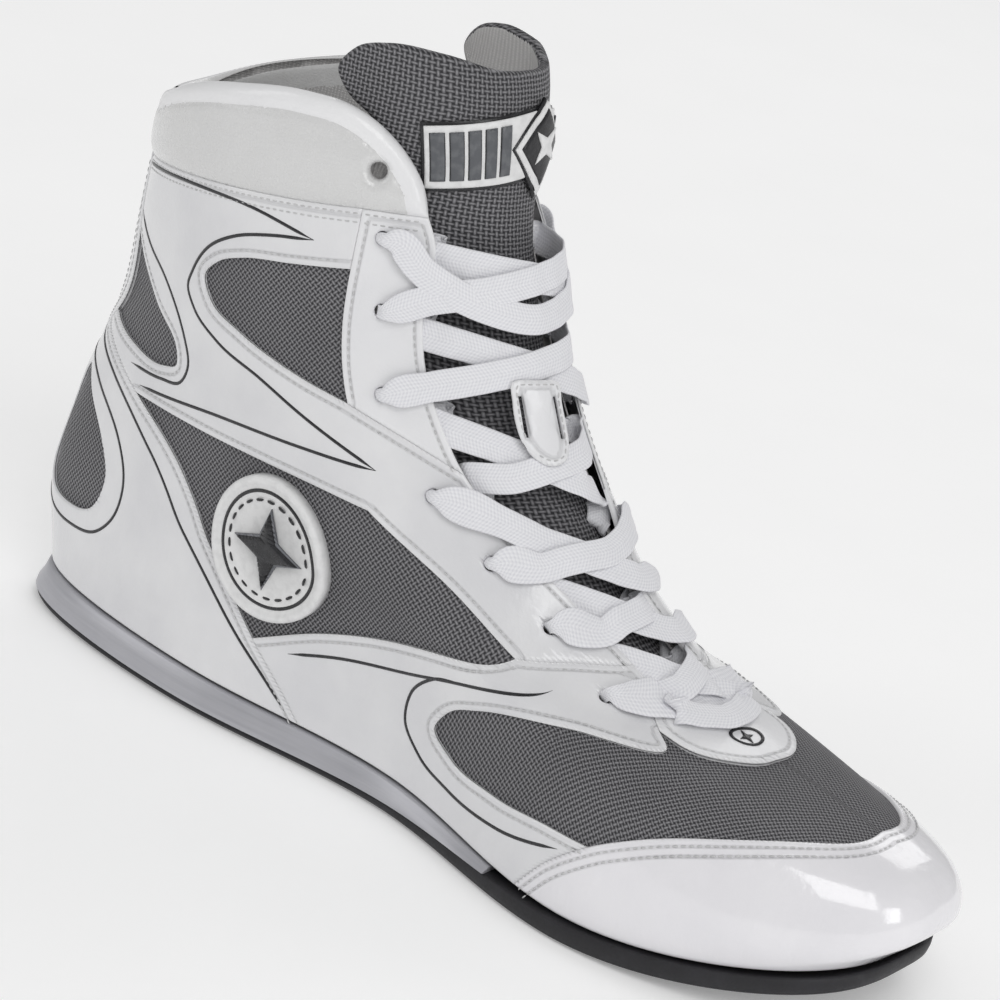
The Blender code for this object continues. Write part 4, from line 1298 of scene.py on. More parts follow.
HEEL_WINDOW = (
    (-160, 42), (-148, 38), (-139, 32), (-136.5, 26), (-140, 19), (-150, 16), (-160, 17), (-166, 22),
    (-167, 31), (-164, 38),
)
COLLAR_RIM = (
    (43, COLLAR_SEAM), (46, 97), (52, 102), (59, 105.5), (67, 107.6), (78, 108.4), (105, 107),
    (136, 103.4), (160, 100), (180, 99),
)
BACK_STRIP_TOP = 88.0
EYELETS = ((-36, 40.8), (-34, 47.6), (-34.5, 53), (-41, 58.6), (-48.5, 68.6), (-49.5, 78.4), (-54, 88.2))
COLLAR_EYELET = (-58, 98)
VAMP_MESH = (
    (0, 39.3), (-30, 39), (-40, 37.6), (-60, 33.4), (-80, 25.4), (-87, 20), (-89.5, 14), (-86, 8),
    (-76, 7.6), (-66, 9.6),
    (-57, 12.8), (-45, 17.8), (-27, 22), (0, 24),
)
QUARTER_MESH = (
    (-106, 12), (-118, 25), (-123, 40), (-136, 44.4), (-132, 49), (-113, 51.6), (-95, 53.6),
    (-79, 54.6), (-63, 54.6),
    (-53, 51.4), (-49.5, 47), (-50, 39.4), (-68, 32), (-86, 25.4), (-98, 18),
)
ANKLE_MESH = (
    (-117, 73), (-113, 77), (-106, 80.4), (-95, 82.2), (-57.5, 85.4), (-56.5, 76), (-56.5, 64),
    (-78, 64.8), (-97, 66.8), (-112, 69.8),
)
ACHILLES_MESH = (
    (-177, 76.5), (-145, 67.6), (-124.5, 60.8), (-122.5, 57.2), (-129, 53.4), (-150, 52.2), (-177, 53.5)
)
HEEL_MESH = (
    (-160, 45), (-146, 40), (-136, 33), (-132.5, 26), (-137, 17), (-150, 13.5), (-162, 14.5),
    (-171, 20), (-172, 31), (-168, 40),
)
BADGE_CENTRE = (-102.0, 34.0)
BADGE_SIDES = 96
STUD_CENTRE = (0.0, 102.4)
LABEL_HALF = 46.5
LABEL_RISE = 2.6


def round_hole(centre: Spot, radius: float, sides: int = 20) -> Line:
    """A round hole's outline on the upper."""
    turns = np.linspace(0, 2 * math.pi, sides, endpoint=False)
    return UPPER.walk(centre, radius * np.cos(turns), radius * np.sin(turns))


def line(*ends: Spot) -> Line:
    """A dense line through pattern points, straight between them."""
    parts = [smooth(pair) for pair in zip(ends[:-1], ends[1:])]
    return np.concatenate([parts[0], *(part[1:] for part in parts[1:])])


SEWN = (2.1,)


@dataclass
class Overlays:
    """The coated-leather overlays of the upper."""

    toe: Edge = field(default_factory=lambda: Edge(smooth(TOE_CAP_EDGE), (2.1, 4.6)))
    heel: Edge = field(default_factory=lambda: Edge(smooth(HEEL_EDGE), SEWN))
    stay_front: Edge = field(default_factory=lambda: Edge(smooth(STAY_FRONT), SEWN))
    stay_rear: Edge = field(default_factory=lambda: Edge(smooth(STAY_REAR), SEWN))
    holes: list[Line] = field(default_factory=lambda: [round_hole(place, 1.9) for place in EYELETS])

    def both(
        self,
        name: str,
        outline: Outline,
        finish: Finish,
        joint: Joint,
        holes: Sequence[Line] = (),
    ) -> None:
        """Cut a panel for each side."""
        for side, drawn, cuts in (
            ("medial", outline, list(holes)),
            ("lateral", outline.mirrored(), [mirrored(hole) for hole in holes]),
        ):
            fit(CUT.cut(f"{name}_{side}_panel", drawn, finish, holes=cuts), joint, f"{name}_{side}")

    def build(self) -> None:
        """Cut and sew every overlay."""
        self.toe_cap()
        self.saddle()
        self.heel_panel()
        self.ankle_panel()
        self.eyestay()
        self.small_pieces()

    def toe_cap(self) -> None:
        """The toe cap, with two rows of stitches."""
        outline = Outline([
            self.toe,
            Edge(mirrored(self.toe.line)[::-1], self.toe.rows),
            Edge(line((68, 0.5), (0, 0.5), (-68, 0.5))),
        ])
        fit(CUT.cut("toe_cap_panel", outline, Finish.TOE), Joint.FLEX, "toe_cap")

    def saddle(self) -> None:
        """The low panel under the waist and beside the vamp, up to the first eyelet."""
        outline = Outline([
            Edge(line((-103, 0.5), (-68, 0.5))),
            Edge(self.toe.between(TOE_CAP_EDGE[0], TOE_CAP_EDGE[2]).line),
            Edge(smooth(VAMP_WINDOW)[::-1], SEWN),
            Edge(smooth(TAB_SIDE)[::-1]),
            Edge(self.stay_front.between(STAY_FRONT[9], STAY_FRONT[10]).line[::-1], SEWN),
            Edge(smooth(BAND_END)[::-1], SEWN),
            Edge(smooth(QUARTER_LOWER), SEWN),
            Edge(self.heel.between(HEEL_EDGE[0], HEEL_EDGE[1]).line[::-1]),
        ])
        self.both("saddle", outline, Finish.SIDE, Joint.FLEX, self.holes[:1])

    def heel_panel(self) -> None:
        """The heel panel round its window."""
        window = smooth_loop(HEEL_WINDOW)
        outline = Outline([
            Edge(line((-173, 0.5), (-103, 0.5))),
            self.heel,
            Edge(line((-173, 52.5), (-173, 0.5))),
        ])
        self.both("heel_panel", outline, Finish.SIDE, Joint.BOOT, [window])

    def ankle_panel(self) -> None:
        """The panel round the ankle, with its band down to the second eyelet."""
        front = self.stay_front.between(STAY_FRONT[5], STAY_FRONT[9]).line[::-1]
        outline = Outline([
            Edge(line((-61, COLLAR_SEAM), (-173, BACK_STRIP_TOP)), (1.3, 3.6)),
            Edge(line((-173, BACK_STRIP_TOP), (-173, 74))),
            Edge(smooth(ACHILLES_WINDOW)[::-1], SEWN),
            Edge(line((-173, 55.5), (-173, 52.5))),
            Edge(self.heel.between(HEEL_EDGE[4], HEEL_EDGE[6]).line[::-1]),
            Edge(smooth(ANKLE_LOWER)[::-1], SEWN),
            Edge(smooth(BAND_FRONT)[::-1], SEWN),
            Edge(smooth(BAND_END)),
            Edge(front, SEWN),
            Edge(smooth(STAY_LOWER)[::-1], SEWN),
            Edge(smooth(ANKLE_WINDOW)[::-1], SEWN),
            Edge(self.stay_rear.between(STAY_REAR[0], STAY_REAR[1]).line[::-1]),
        ])
        self.both("ankle_panel", outline, Finish.SIDE, Joint.BOOT, self.holes[1:4])

    def eyestay(self) -> None:
        """The upright strip with the upper eyelets."""
        outline = Outline([
            Edge(line((-61, COLLAR_SEAM), (-43, COLLAR_SEAM)), (1.3, 3.6)),
            Edge(self.stay_front.between(STAY_FRONT[0], STAY_FRONT[5]).line, SEWN),
            Edge(smooth(STAY_LOWER)[::-1]),
            self.stay_rear.reversed(),
        ])
        self.both("eyestay", outline, Finish.STAY, Joint.BOOT, self.holes[4:])

    def small_pieces(self) -> None:
        """The throat tab and the strip up the back of the heel."""
        rear, side, front = smooth(TAB_REAR), smooth(TAB_SIDE), smooth(TAB_FRONT)
        tab = Outline([
            Edge(rear[::-1], SEWN),
            Edge(side, SEWN),
            Edge(front, SEWN),
            Edge(mirrored(front)[::-1], SEWN),
            Edge(mirrored(side)[::-1], SEWN),
            Edge(mirrored(rear), SEWN),
        ])
        fit(CUT.cut("throat_tab_panel", tab, Finish.STAY, top=0.25), Joint.FLEX, "throat_tab")
        strip = Outline([
            Edge(line((173, 0.5), (187, 0.5))),
            Edge(line((187, 0.5), (187, BACK_STRIP_TOP)), SEWN),
            Edge(line((187, BACK_STRIP_TOP), (173, BACK_STRIP_TOP))),
            Edge(line((173, BACK_STRIP_TOP), (173, 0.5)), SEWN),
        ])
        fit(CUT.cut("back_strip_panel", strip, Finish.STAY, top=0.35), Joint.BOOT, "back_strip")


@dataclass
class Stripes:
    """The thin black lines that follow the windows."""

    width: float = 1.05
    rear: tuple[Places, ...] = (
        ((-173, 86.5), (-150, 87.6), (-120, 88.6), (-93, 88.4), (-72, 86)),
        (
            (-72, 86), (-85, 85), (-98, 83), (-111, 79), (-118, 75), (-121.5, 72), (-118, 69),
            (-107, 66), (-90, 64), (-78, 62), (-56, 59),
        ),
        ((-56, 59), (-80, 57), (-107, 54), (-134, 48.6)),
        ((-172, 78), (-155, 74), (-140, 71), (-124, 63), (-120.6, 59), (-122, 55), (-129, 53), (-142, 51)),
        (
            (-171, 46), (-148, 42), (-134, 35), (-131.5, 28), (-134, 20), (-139, 15), (-148, 12.6),
            (-160, 13), (-171, 17),
        ),
        ((-172, 50), (-144, 46), (-125.5, 38), (-119, 26), (-112, 12), (-105, 2)),
    )
    front: tuple[Places, ...] = (
        ((-105, 13.6), (-99, 17), (-88, 22), (-76, 28), (-51, 38)),
        ((-76, 28), (-83, 24.5), (-88, 19), (-89.5, 13), (-87, 8), (-82, 6), (-74, 6.6), (-65.5, 10.4)),
    )

    def build(self) -> None:
        """Lay the lines on both sides."""
        for name, group, joint in (("rear", self.rear, Joint.BOOT), ("front", self.front, Joint.FLEX)):
            lines = [smooth(points, 1.2) for points in group]
            lines += [mirrored(points) for points in lines]
            fit(ribbon(f"stripes_{name}", lines, self.width, 0.03, Finish.BLACK), joint)


@dataclass
class MeshPanels:
    """The woven panels behind the windows."""

    top: float = -1.15
    bottom: float = -2.0

    def build(self) -> None:
        """Cut every woven panel."""
        half = smooth(VAMP_MESH)
        vamp = Outline([Edge(half), Edge(mirrored(half)[::-1])])
        fit(
            CUT.cut(
                "vamp_mesh_panel", vamp, Finish.MESH, self.top, self.bottom, rounding=0.0, flat=top_flat
            ),
            Joint.FLEX,
            "vamp_mesh",
        )
        for name, points in (
            ("quarter_mesh", QUARTER_MESH),
            ("ankle_mesh", ANKLE_MESH),
            ("achilles_mesh", ACHILLES_MESH),
            ("heel_mesh", HEEL_MESH),
        ):
            loop = smooth_loop(points)
            for side, drawn in (("medial", loop), ("lateral", mirrored(loop))):
                joint = Joint.FLEX if name == "quarter_mesh" else Joint.BOOT
                piece = CUT.cut(
                    f"{name}_{side}_panel",
                    Outline([Edge(drawn)]),
                    Finish.MESH,
                    self.top,
                    self.bottom,
                    rounding=0.0,
                )
                fit(piece, joint, f"{name}_{side}")


@dataclass
class Pad:
    """A soft panel with two faces that round into each other at its free edges."""

    outer: float
    inner: float
    radius: float = 2.4
    step: float = 2.6
    seam_lift: float = -0.5
    seam_width: float = 4.5
    crown: float = 0.0
    beads: tuple[float, ...] = ()
    facing: float = 6.0
    lean: Any = None
    band: float = 0.0

    def build(
        self,
        name: str,
        edges: list[tuple[Line, bool]],
        finishes: Sequence[Finish],
        holes: Sequence[Line] = (),
        flat: Any = side_flat,
    ) -> Any:
        """Make the pad.

        Args:
            name: The piece's name.
            edges: Its outline's lines, each with whether it is a free, rounded edge.
            finishes: Those of the outer face, the inner face and, where there is one, the rim band.
            holes: Closed loops through it.
            flat: Function from points to flat coordinates.

        Returns:
            The object.
        """
        loop, free = joined(edges, all)
        insets = [self.radius * share for share in (0.08, 0.3, 0.65, 1.05)]
        insets += [self.facing - 0.3, self.facing + 0.3]
        for distance in self.beads:
            insets += [distance - 0.7, distance, distance + 0.7]
        net = CUT.net([loop, *holes], self.step, insets, self.radius * 0.06)
        places = UPPER.on(loop)
        after = np.roll(places, -1, axis=0)
        rounded = np.array([free[k] and free[(k + 1) % len(loop)] for k in range(len(loop))])
        starts, ends = [places[rounded]], [after[rounded]]
        for hole in holes:
            around = UPPER.on(hole)
            starts.append(around)
            ends.append(np.roll(around, -1, axis=0))
        soft_gap = distance_to(net.base, np.concatenate(starts), np.concatenate(ends))
        rim_gap = distance_to(net.base, places[rounded], after[rounded])
        seam_gap = distance_to(net.base, places[~rounded], after[~rounded])
        middle, half = (self.outer + self.inner) / 2, (self.outer - self.inner) / 2
        swell = np.sqrt(np.clip(1 - (1 - np.clip(soft_gap / self.radius, 0, 1)) ** 2, 0, 1))
        settle = np.clip(seam_gap / self.seam_width, 0, 1)
        settle = np.sqrt(np.clip(1 - (1 - settle) ** 2, 0, 1))
        puff = self.crown * np.clip(np.minimum(rim_gap, seam_gap) / 14.0, 0, 1) ** 0.7
        bead = np.zeros(len(net.base))
        for distance in self.beads:
            bead -= 0.4 * np.exp(-((rim_gap - distance) / 0.6) ** 2)
        lean = self.lean(net.pattern) if self.lean else 0.0
        top = middle + half * swell + puff + bead + lean
        if (~rounded).any():
            top = self.seam_lift + (top - self.seam_lift) * settle
        low = middle - half * swell + lean
        shared = np.unique(net.rim)
        shared = shared[soft_gap[shared] < 1e-3]
        count = len(net.base)
        below = np.arange(count) + count
        below[shared] = shared
        vertices = np.concatenate([net.base + net.out * top[:, None], net.base + net.out * low[:, None]])
        inner = below[net.triangles][:, ::-1]
        made = add_mesh(
            name, vertices, [*net.triangles.tolist(), *inner.tolist()], finishes[0], flat(vertices)
        )
        for finish in finishes[1:]:
            made.data.materials.append(finish.material())
        near = rim_gap[net.triangles].mean(axis=1)
        index = np.concatenate([np.zeros(len(inner), int), np.where(near < self.facing, 0, 1)])
        if self.band:
            index[:len(inner)][near < self.band] = 2
        made.data.polygons.foreach_set("material_index", index.astype(np.int32))
        with editing(made.data) as bm:
            bmesh.ops.delete(bm, geom=[v for v in bm.verts if not v.link_faces], context="VERTS")
        return made


@dataclass
class Collar:
    """The padded collar, sewn to the ankle panels below and rounded over the rim."""

    pad: Pad = field(
        default_factory=lambda: Pad(
            1.1,
            -4.2,
            radius=3.0,
            seam_lift=-0.45,
            seam_width=5.0,
            crown=1.2,
            beads=(5.4,),
            facing=8.0,
            band=5.4,
            step=2.0,
        )
    )

    def build(self) -> None:
        """Make both halves."""
        rim = mirrored(smooth(COLLAR_RIM))
        seam = line((-180, BACK_STRIP_TOP), (-173, BACK_STRIP_TOP), (-61, COLLAR_SEAM), (-43, COLLAR_SEAM))
        hole = round_hole(COLLAR_EYELET, 2.2)
        back_seam = line((-180, 99), (-180.6, 98.4), (-180.6, BACK_STRIP_TOP), (-180, BACK_STRIP_TOP))
        for side, turn in (("medial", 1.0), ("lateral", -1.0)):
            flip = np.array([turn, 1.0])
            edges = [(rim * flip, True), (back_seam * flip, False), (seam * flip, False)]
            if turn < 0:
                edges = [(points[::-1], soft) for points, soft in edges[::-1]]
            piece = self.pad.build(
                f"collar_{side}_pad", edges, (Finish.COLLAR, Finish.LINING, Finish.STAY), [hole * flip]
            )
            fit(piece, Joint.BOOT, f"collar_cover_{side}", f"collar_foam_{side}")


@dataclass
class Inside:
    """The cloth lining and the stiffeners between the layers."""

    lift: float = -4.35

    def build(self) -> None:
        """Make the lining, heel counter and toe puff."""
        half = np.concatenate([
            line((0, 36), (0, 40)),
            smooth(((0, 40), (-7, 40.1), (-13, 40.4), (-18, 41.5)))[1:],
            smooth([(a - 3.0, h) for a, h in STAY_FRONT[:-1]])[::-1],
            mirrored(smooth([(a + 2, min(h, 106)) for a, h in COLLAR_RIM[:-1]])),
            line((-178, 98), (-180, 98), (-180, 1.5)),
        ])
        bottom = line((-180, 1.5), (0, 1.5))
        outline = Outline([Edge(half), Edge(bottom), Edge(line((0, 1.5), (0, 36)))])
        for side, drawn in (("medial", outline), ("lateral", outline.mirrored())):
            holes = [round_hole(place, 2.6, 10) * (1 if side == "medial" else -1, 1) for place in EYELETS]
            piece = CUT.cut(
                f"lining_{side}_cloth", drawn, Finish.LINING, self.lift + 0.4, self.lift, holes, 3.6, 0.0
            )
            nodes = [f"quarter_lining_{side}"]
            nodes += ["heel_lining", "vamp_lining"] if side == "medial" else ["toe_lining"]
            fit(piece, Joint.FLEX, *nodes)
        arc = smooth(
            (
                (112, 3), (115, 20), (124, 36), (150, 42), (180, 44), (210, 42), (236, 36), (245, 20),
                (248, 3),
            )
        )
        counter = Outline([Edge(arc), Edge(line((248, 3), (112, 3)))])
        fit(
            CUT.cut("heel_counter_shell", counter, Finish.STIFFENER, -2.4, -3.2, step=4.0, rounding=0.0),
            Joint.BOOT,
            "heel_counter",
        )
        edge = smooth(((-46, 3), (-46, 10), (-38, 16), (-20, 19.6), (0, 20.6)))
        puff = Outline([Edge(edge), Edge(mirrored(edge)[::-1]), Edge(line((46, 3), (-46, 3)))])
        fit(
            CUT.cut("toe_puff_shell", puff, Finish.STIFFENER, -2.4, -3.2, step=4.0, rounding=0.0),
            Joint.FLEX,
            "toe_puff",
        )


def tongue_flare(pattern: np.ndarray) -> np.ndarray:
    """How far the top of the tongue leans forward from the leg at pattern points."""
    climb = np.clip((pattern[:, 1] - 86.0) / 26.0, 0, 1)
    turned = np.clip((np.abs(pattern[:, 0]) - 34.0) / 34.0, 0, 1)
    return 7.5 * climb * climb * (3 - 2 * climb) * (1 - 0.75 * turned)


def tongue_flat(points: np.ndarray) -> np.ndarray:
    """Flat coordinates for the tongue: across it and up its slope."""
    reach = np.hypot(points[:, 0] - 88.0, points[:, 1])
    around = np.arctan2(points[:, 1], points[:, 0] - 88.0) * reach
    return np.stack([around, points[:, 2] * 1.06 - 0.3 * np.clip(points[:, 0] - 140.0, 0, None)], -1)


@dataclass
class Tongue:
    """The padded tongue, its label and its lace keeper."""

    split: float = 80.0
    half: Places = ((0, 40), (-16, 40.6), (-24, 45), (-30, 52), (-40, 61), (-47, 72), (-50, 80))
    upper: Places = (
        (-50, 80), (-51.5, 87), (-52, 94), (-55, 101), (-61, 105.5), (-69, 109), (-72, 112.5),
        (-66, 116.2), (-55, 117.6), (-38, 116.8), (-18, 114.6), (0, 114),
    )
    pad: Pad = field(
        default_factory=lambda: Pad(
            -6.5, -9.6, radius=1.7, step=2.8, seam_lift=-6.5, seam_width=0.01, facing=1.2, lean=tongue_flare
        )
    )

    def build(self) -> None:
        """Make the tongue and what is on it."""
        finishes = (Finish.TONGUE, Finish.LINING)
        low = smooth(self.half)
        across = line((-50, self.split), (0, self.split), (50, self.split))
        piece = self.pad.build(
            "tongue_lower_pad",
            [(low, True), (across, False), (mirrored(low)[::-1], True)],
            finishes,
            flat=tongue_flat,
        )
        fit(piece, Joint.FLEX, "tongue")
        top = smooth(self.upper)
        edges = [(top, True), (mirrored(top)[::-1], True), (across[::-1], False)]
        piece = self.pad.build("tongue_upper_pad", edges, finishes, flat=tongue_flat)
        fit(piece, Joint.FOLD, "tongue_flap")
        self.label()
        self.keeper()

    def label(self) -> None:
        """The moulded label: a bar of plain ribs with a diamond medallion, on a white face whose black
        backing shows round it as a painted shadow line.
        """
        def block(a: float, low: float, high: float, b: float | None = None) -> Outline:
            """An upright block of the label."""
            b = -a if b is None else b
            rows = line((a, low), (b, low), (b, high), (a, high), (a, low))
            rows[:, 1] += LABEL_RISE * (1 - abs(rows[:, 0]) / LABEL_HALF)
            return Outline([Edge(rows)])

        # Black backing a little larger than the white face: its rim above, below and at the ends is a painted
        # shadow line round the raised bar.
        plate = CUT.cut(
            "tongue_label_bar",
            block(-LABEL_HALF, 95.4, 106.0),
            Finish.BLACK,
            -5.7,
            -6.9,
            rounding=0.3,
            lean=tongue_flare,
        )
        face = CUT.cut(
            "label_face",
            block(1 - LABEL_HALF, 95.9, 105.5),
            Finish.WHITE,
            -4.9,
            -5.9,
            rounding=0.4,
            lean=tongue_flare,
        )
        ribs = []
        for side in (-1, 1):
            for k in range(5):
                at = side * (17.2 + 6.1 * k)
                for reach, finish, top in ((2.5, Finish.BLACK, -4.75), (2.1, Finish.CHARCOAL, -4.35)):
                    rib = block(at - reach, 97.2 - reach * 0.1, 104.2 + reach * 0.1, at + reach)
                    name = f"rib_{side}_{k}_{finish.name.lower()}"
                    ribs.append(
                        CUT.cut(name, rib, finish, top, -5.5, step=1.4, rounding=0.25, lean=tongue_flare)
                    )
        fit(join_mesh(plate, [face, *ribs]), Joint.TOP, "tongue_label")
        stud = None
        for reach, finish, top in (
            (1.0, Finish.BLACK, -4.5),
            (0.94, Finish.WHITE, -3.7),
            (0.78, Finish.BLACK, -3.3),
        ):
            corners = [(0, 95.0), (14.5, 102.4), (0, 109.8), (-14.5, 102.4)]
            middle = np.array(STUD_CENTRE)
            shape = line(*[tuple(middle + (np.array(c) - middle) * reach) for c in (*corners, corners[0])])
            name = f"stud_{finish.name.lower()}_{reach}"
            layer = CUT.cut(
                name, Outline([Edge(shape)]), finish, top, -5.6, step=1.6, rounding=0.5, lean=tongue_flare
            )
            stud = join_mesh(stud, [layer]) if stud else layer
        star = Outline([Edge(star_shape(STUD_CENTRE, 6.0, 2.1, 45.0))])
        mark = CUT.cut(
            "stud_mark", star, Finish.WHITE, -2.8, -4.0, step=1.2, rounding=0.4, lean=tongue_flare
        )
        stud.name = "label_stud_medallion"
        fit(join_mesh(stud, [mark]), Joint.TOP, "label_stud")

    def keeper(self) -> None:
        """The tab that holds the crossing laces in line, with its two slots."""
        outline = smooth_loop((
            (-8, 66.8), (-8.8, 68.4), (-8.8, 71), (-8.4, 73), (0, 73.3), (8.4, 73), (8.8, 71),
            (8.8, 68.4), (8, 66.8),
            (5, 65.3), (0, 64.8), (-5, 65.3),
        ))
        holes = [np.array([(a, 67.4), (a + 1.3, 67.4), (a + 1.3, 71.6), (a, 71.6)]) for a in (-6.9, 5.6)]
        piece = CUT.cut(
            "lace_keeper_tab", Outline([Edge(outline, (1.2,))]), Finish.STAY, 4.6, 3.4, holes, 1.6, 0.5
        )
        fit(piece, Joint.FLEX, "lace_keeper")


def star_shape(centre: Spot, reach: float, waist: float, turn: float = 0.0) -> Line:
    """A four-pointed star's outline on the upper.

    Args:
        centre: Its (angle, height).
        reach: Radius of its points in millimetres.
        waist: Radius between them.
        turn: Degrees that it is turned by.

    Returns:
        The closed outline.
    """
    radii = [reach if k % 2 == 0 else waist for k in range(8)]
    turns = [math.radians(turn) + math.pi * k / 4 for k in range(8)]
    corners = np.array([(r * math.cos(t), r * math.sin(t)) for r, t in zip(radii, turns)])
    after = np.roll(corners, -1, axis=0)
    places = np.concatenate(
        [a + (b - a) * np.linspace(0, 1, 7, endpoint=False)[:, None] for a, b in zip(corners, after)]
    )
    return UPPER.walk(centre, places[:, 0], places[:, 1])


@dataclass
class Badges:
    """The round side badges and the small ring on the throat tab."""

    radius: float = 20.4

    def turned(self, name: str, section: Sequence[Spot], bottom: float, finish: Finish) -> Any:
        """A piece turned about the badge's centre from (radius, lift) points."""
        inner, outer = section[0][0], section[-1][0]
        rows = [(max(inner, 0.01), bottom), *[(max(r, 0.01), lift) for r, lift in section], (outer, bottom)]
        rings = []
        for r, lift in rows:
            around = round_hole(BADGE_CENTRE, r, BADGE_SIDES)
            rings.append(UPPER.on(around) + UPPER.out(around) * lift)
        rings.append(rings[0])
        vertices = np.stack(rings).reshape(-1, 3)
        piece = add_mesh(name, vertices, grid_faces(len(rings), BADGE_SIDES, closed=True), finish)
        facing_out(piece)
        return piece

    def build(self) -> None:
        """Make the badges on both sides, and the ring on the tab."""
        for side in ("medial", "lateral"):
            size = self.radius
            section = (
                (0.0, 1.5), (size - 3.2, 1.5), (size - 2.6, 1.7), (size - 1.9, 2.3),
                (size - 0.9, 2.35), (size - 0.2, 1.9), (size, 1.1),
            )
            plate = self.turned("badge_plate", section, -1.4, Finish.WHITE)
            section = ((size - 4.6, 1.5), (size - 4.5, 1.68), (size - 3.7, 1.68), (size - 3.6, 1.5))
            line_ring = self.turned("badge_line", section, 1.2, Finish.BLACK)
            thread = Thread(0.42, 2.6, 4.1)
            around = round_hole(BADGE_CENTRE, 13.9, 120)
            around = np.concatenate([around, around[:1]])
            out = UPPER.out(around)
            thread.row(UPPER.on(around) + out * 1.6, out)
            dashes = thread.build("badge_dashes", Finish.BLACK)
            disc = join_mesh(plate, [line_ring, dashes])
            disc.name = f"badge_{side}_disc"
            # A grey star a little larger than the black one, under it: its rim is a painted shadow round the
            # raised star.
            base = CUT.cut(
                "star_base",
                Outline([Edge(star_shape(BADGE_CENTRE, 12.2, 4.9))]),
                Finish.GREY,
                1.95,
                1.3,
                step=1.8,
                rounding=0.3,
            )
            star = CUT.cut(
                f"badge_{side}_star",
                Outline([Edge(star_shape(BADGE_CENTRE, 11.1, 4.1))]),
                Finish.BLACK,
                2.9,
                1.6,
                step=1.6,
                rounding=0.9,
            )
            star = join_mesh(star, [base])
            if side == "lateral":
                for piece in (disc, star):
                    self.to_other_side(piece)
            fit(disc, Joint.BOOT, f"badge_disc_{side}")
            fit(star, Joint.BOOT, f"badge_star_{side}")
        oval = self.oval(5.0, 3.7)
        ring = CUT.cut(
            "throat_ring", Outline([Edge(oval)]), Finish.BLACK, 0.62, -0.1, [self.oval(4.1, 2.9)], 1.2, 0.15
        )
        mark = CUT.cut(
            "throat_mark",
            Outline([Edge(star_shape((0.0, 39.3), 2.5, 0.9))]),
            Finish.BLACK,
            0.62,
            -0.1,
            step=1.0,
            rounding=0.12,
        )
        fit(join_mesh(ring, [mark]), Joint.FLEX, "throat_oval")

    def oval(self, wide: float, tall: float) -> Line:
        """An oval on the throat tab."""
        turns = np.linspace(0, 2 * math.pi, 48, endpoint=False)
        across, up = (np.linalg.norm(v) for v in UPPER.tangents(0.0, 39.3))
        return np.stack([wide * np.cos(turns) / across, 39.3 + tall * np.sin(turns) / up], -1)

    def to_other_side(self, piece: Any) -> None:
        """Move a medial piece's points to the matching places of the lateral side."""
        mesh = piece.data
        points = np.empty(len(mesh.vertices) * 3)
        mesh.vertices.foreach_get("co", points)
        points = points.reshape(-1, 3) / MM + ORIGIN
        centre = UPPER.point(*BADGE_CENTRE)
        other = UPPER.point(-BADGE_CENTRE[0], BADGE_CENTRE[1])
        frames = []
        for turn in (1.0, -1.0):
            normal = UPPER.normal(turn * BADGE_CENTRE[0], BADGE_CENTRE[1])
            up = np.array([0, 0, 1.0]) - normal * normal[2]
            up /= np.linalg.norm(up)
            frames.append(np.stack([np.cross(up, normal) * turn, up, normal]))
        local = (points - centre) @ frames[0].T
        moved = other + local @ frames[1]
        mesh.vertices.foreach_set("co", in_row(moved).ravel())
        bm = bmesh.new()
        bm.from_mesh(mesh)
        bmesh.ops.reverse_faces(bm, faces=bm.faces)
        bm.to_mesh(mesh)
        bm.free()


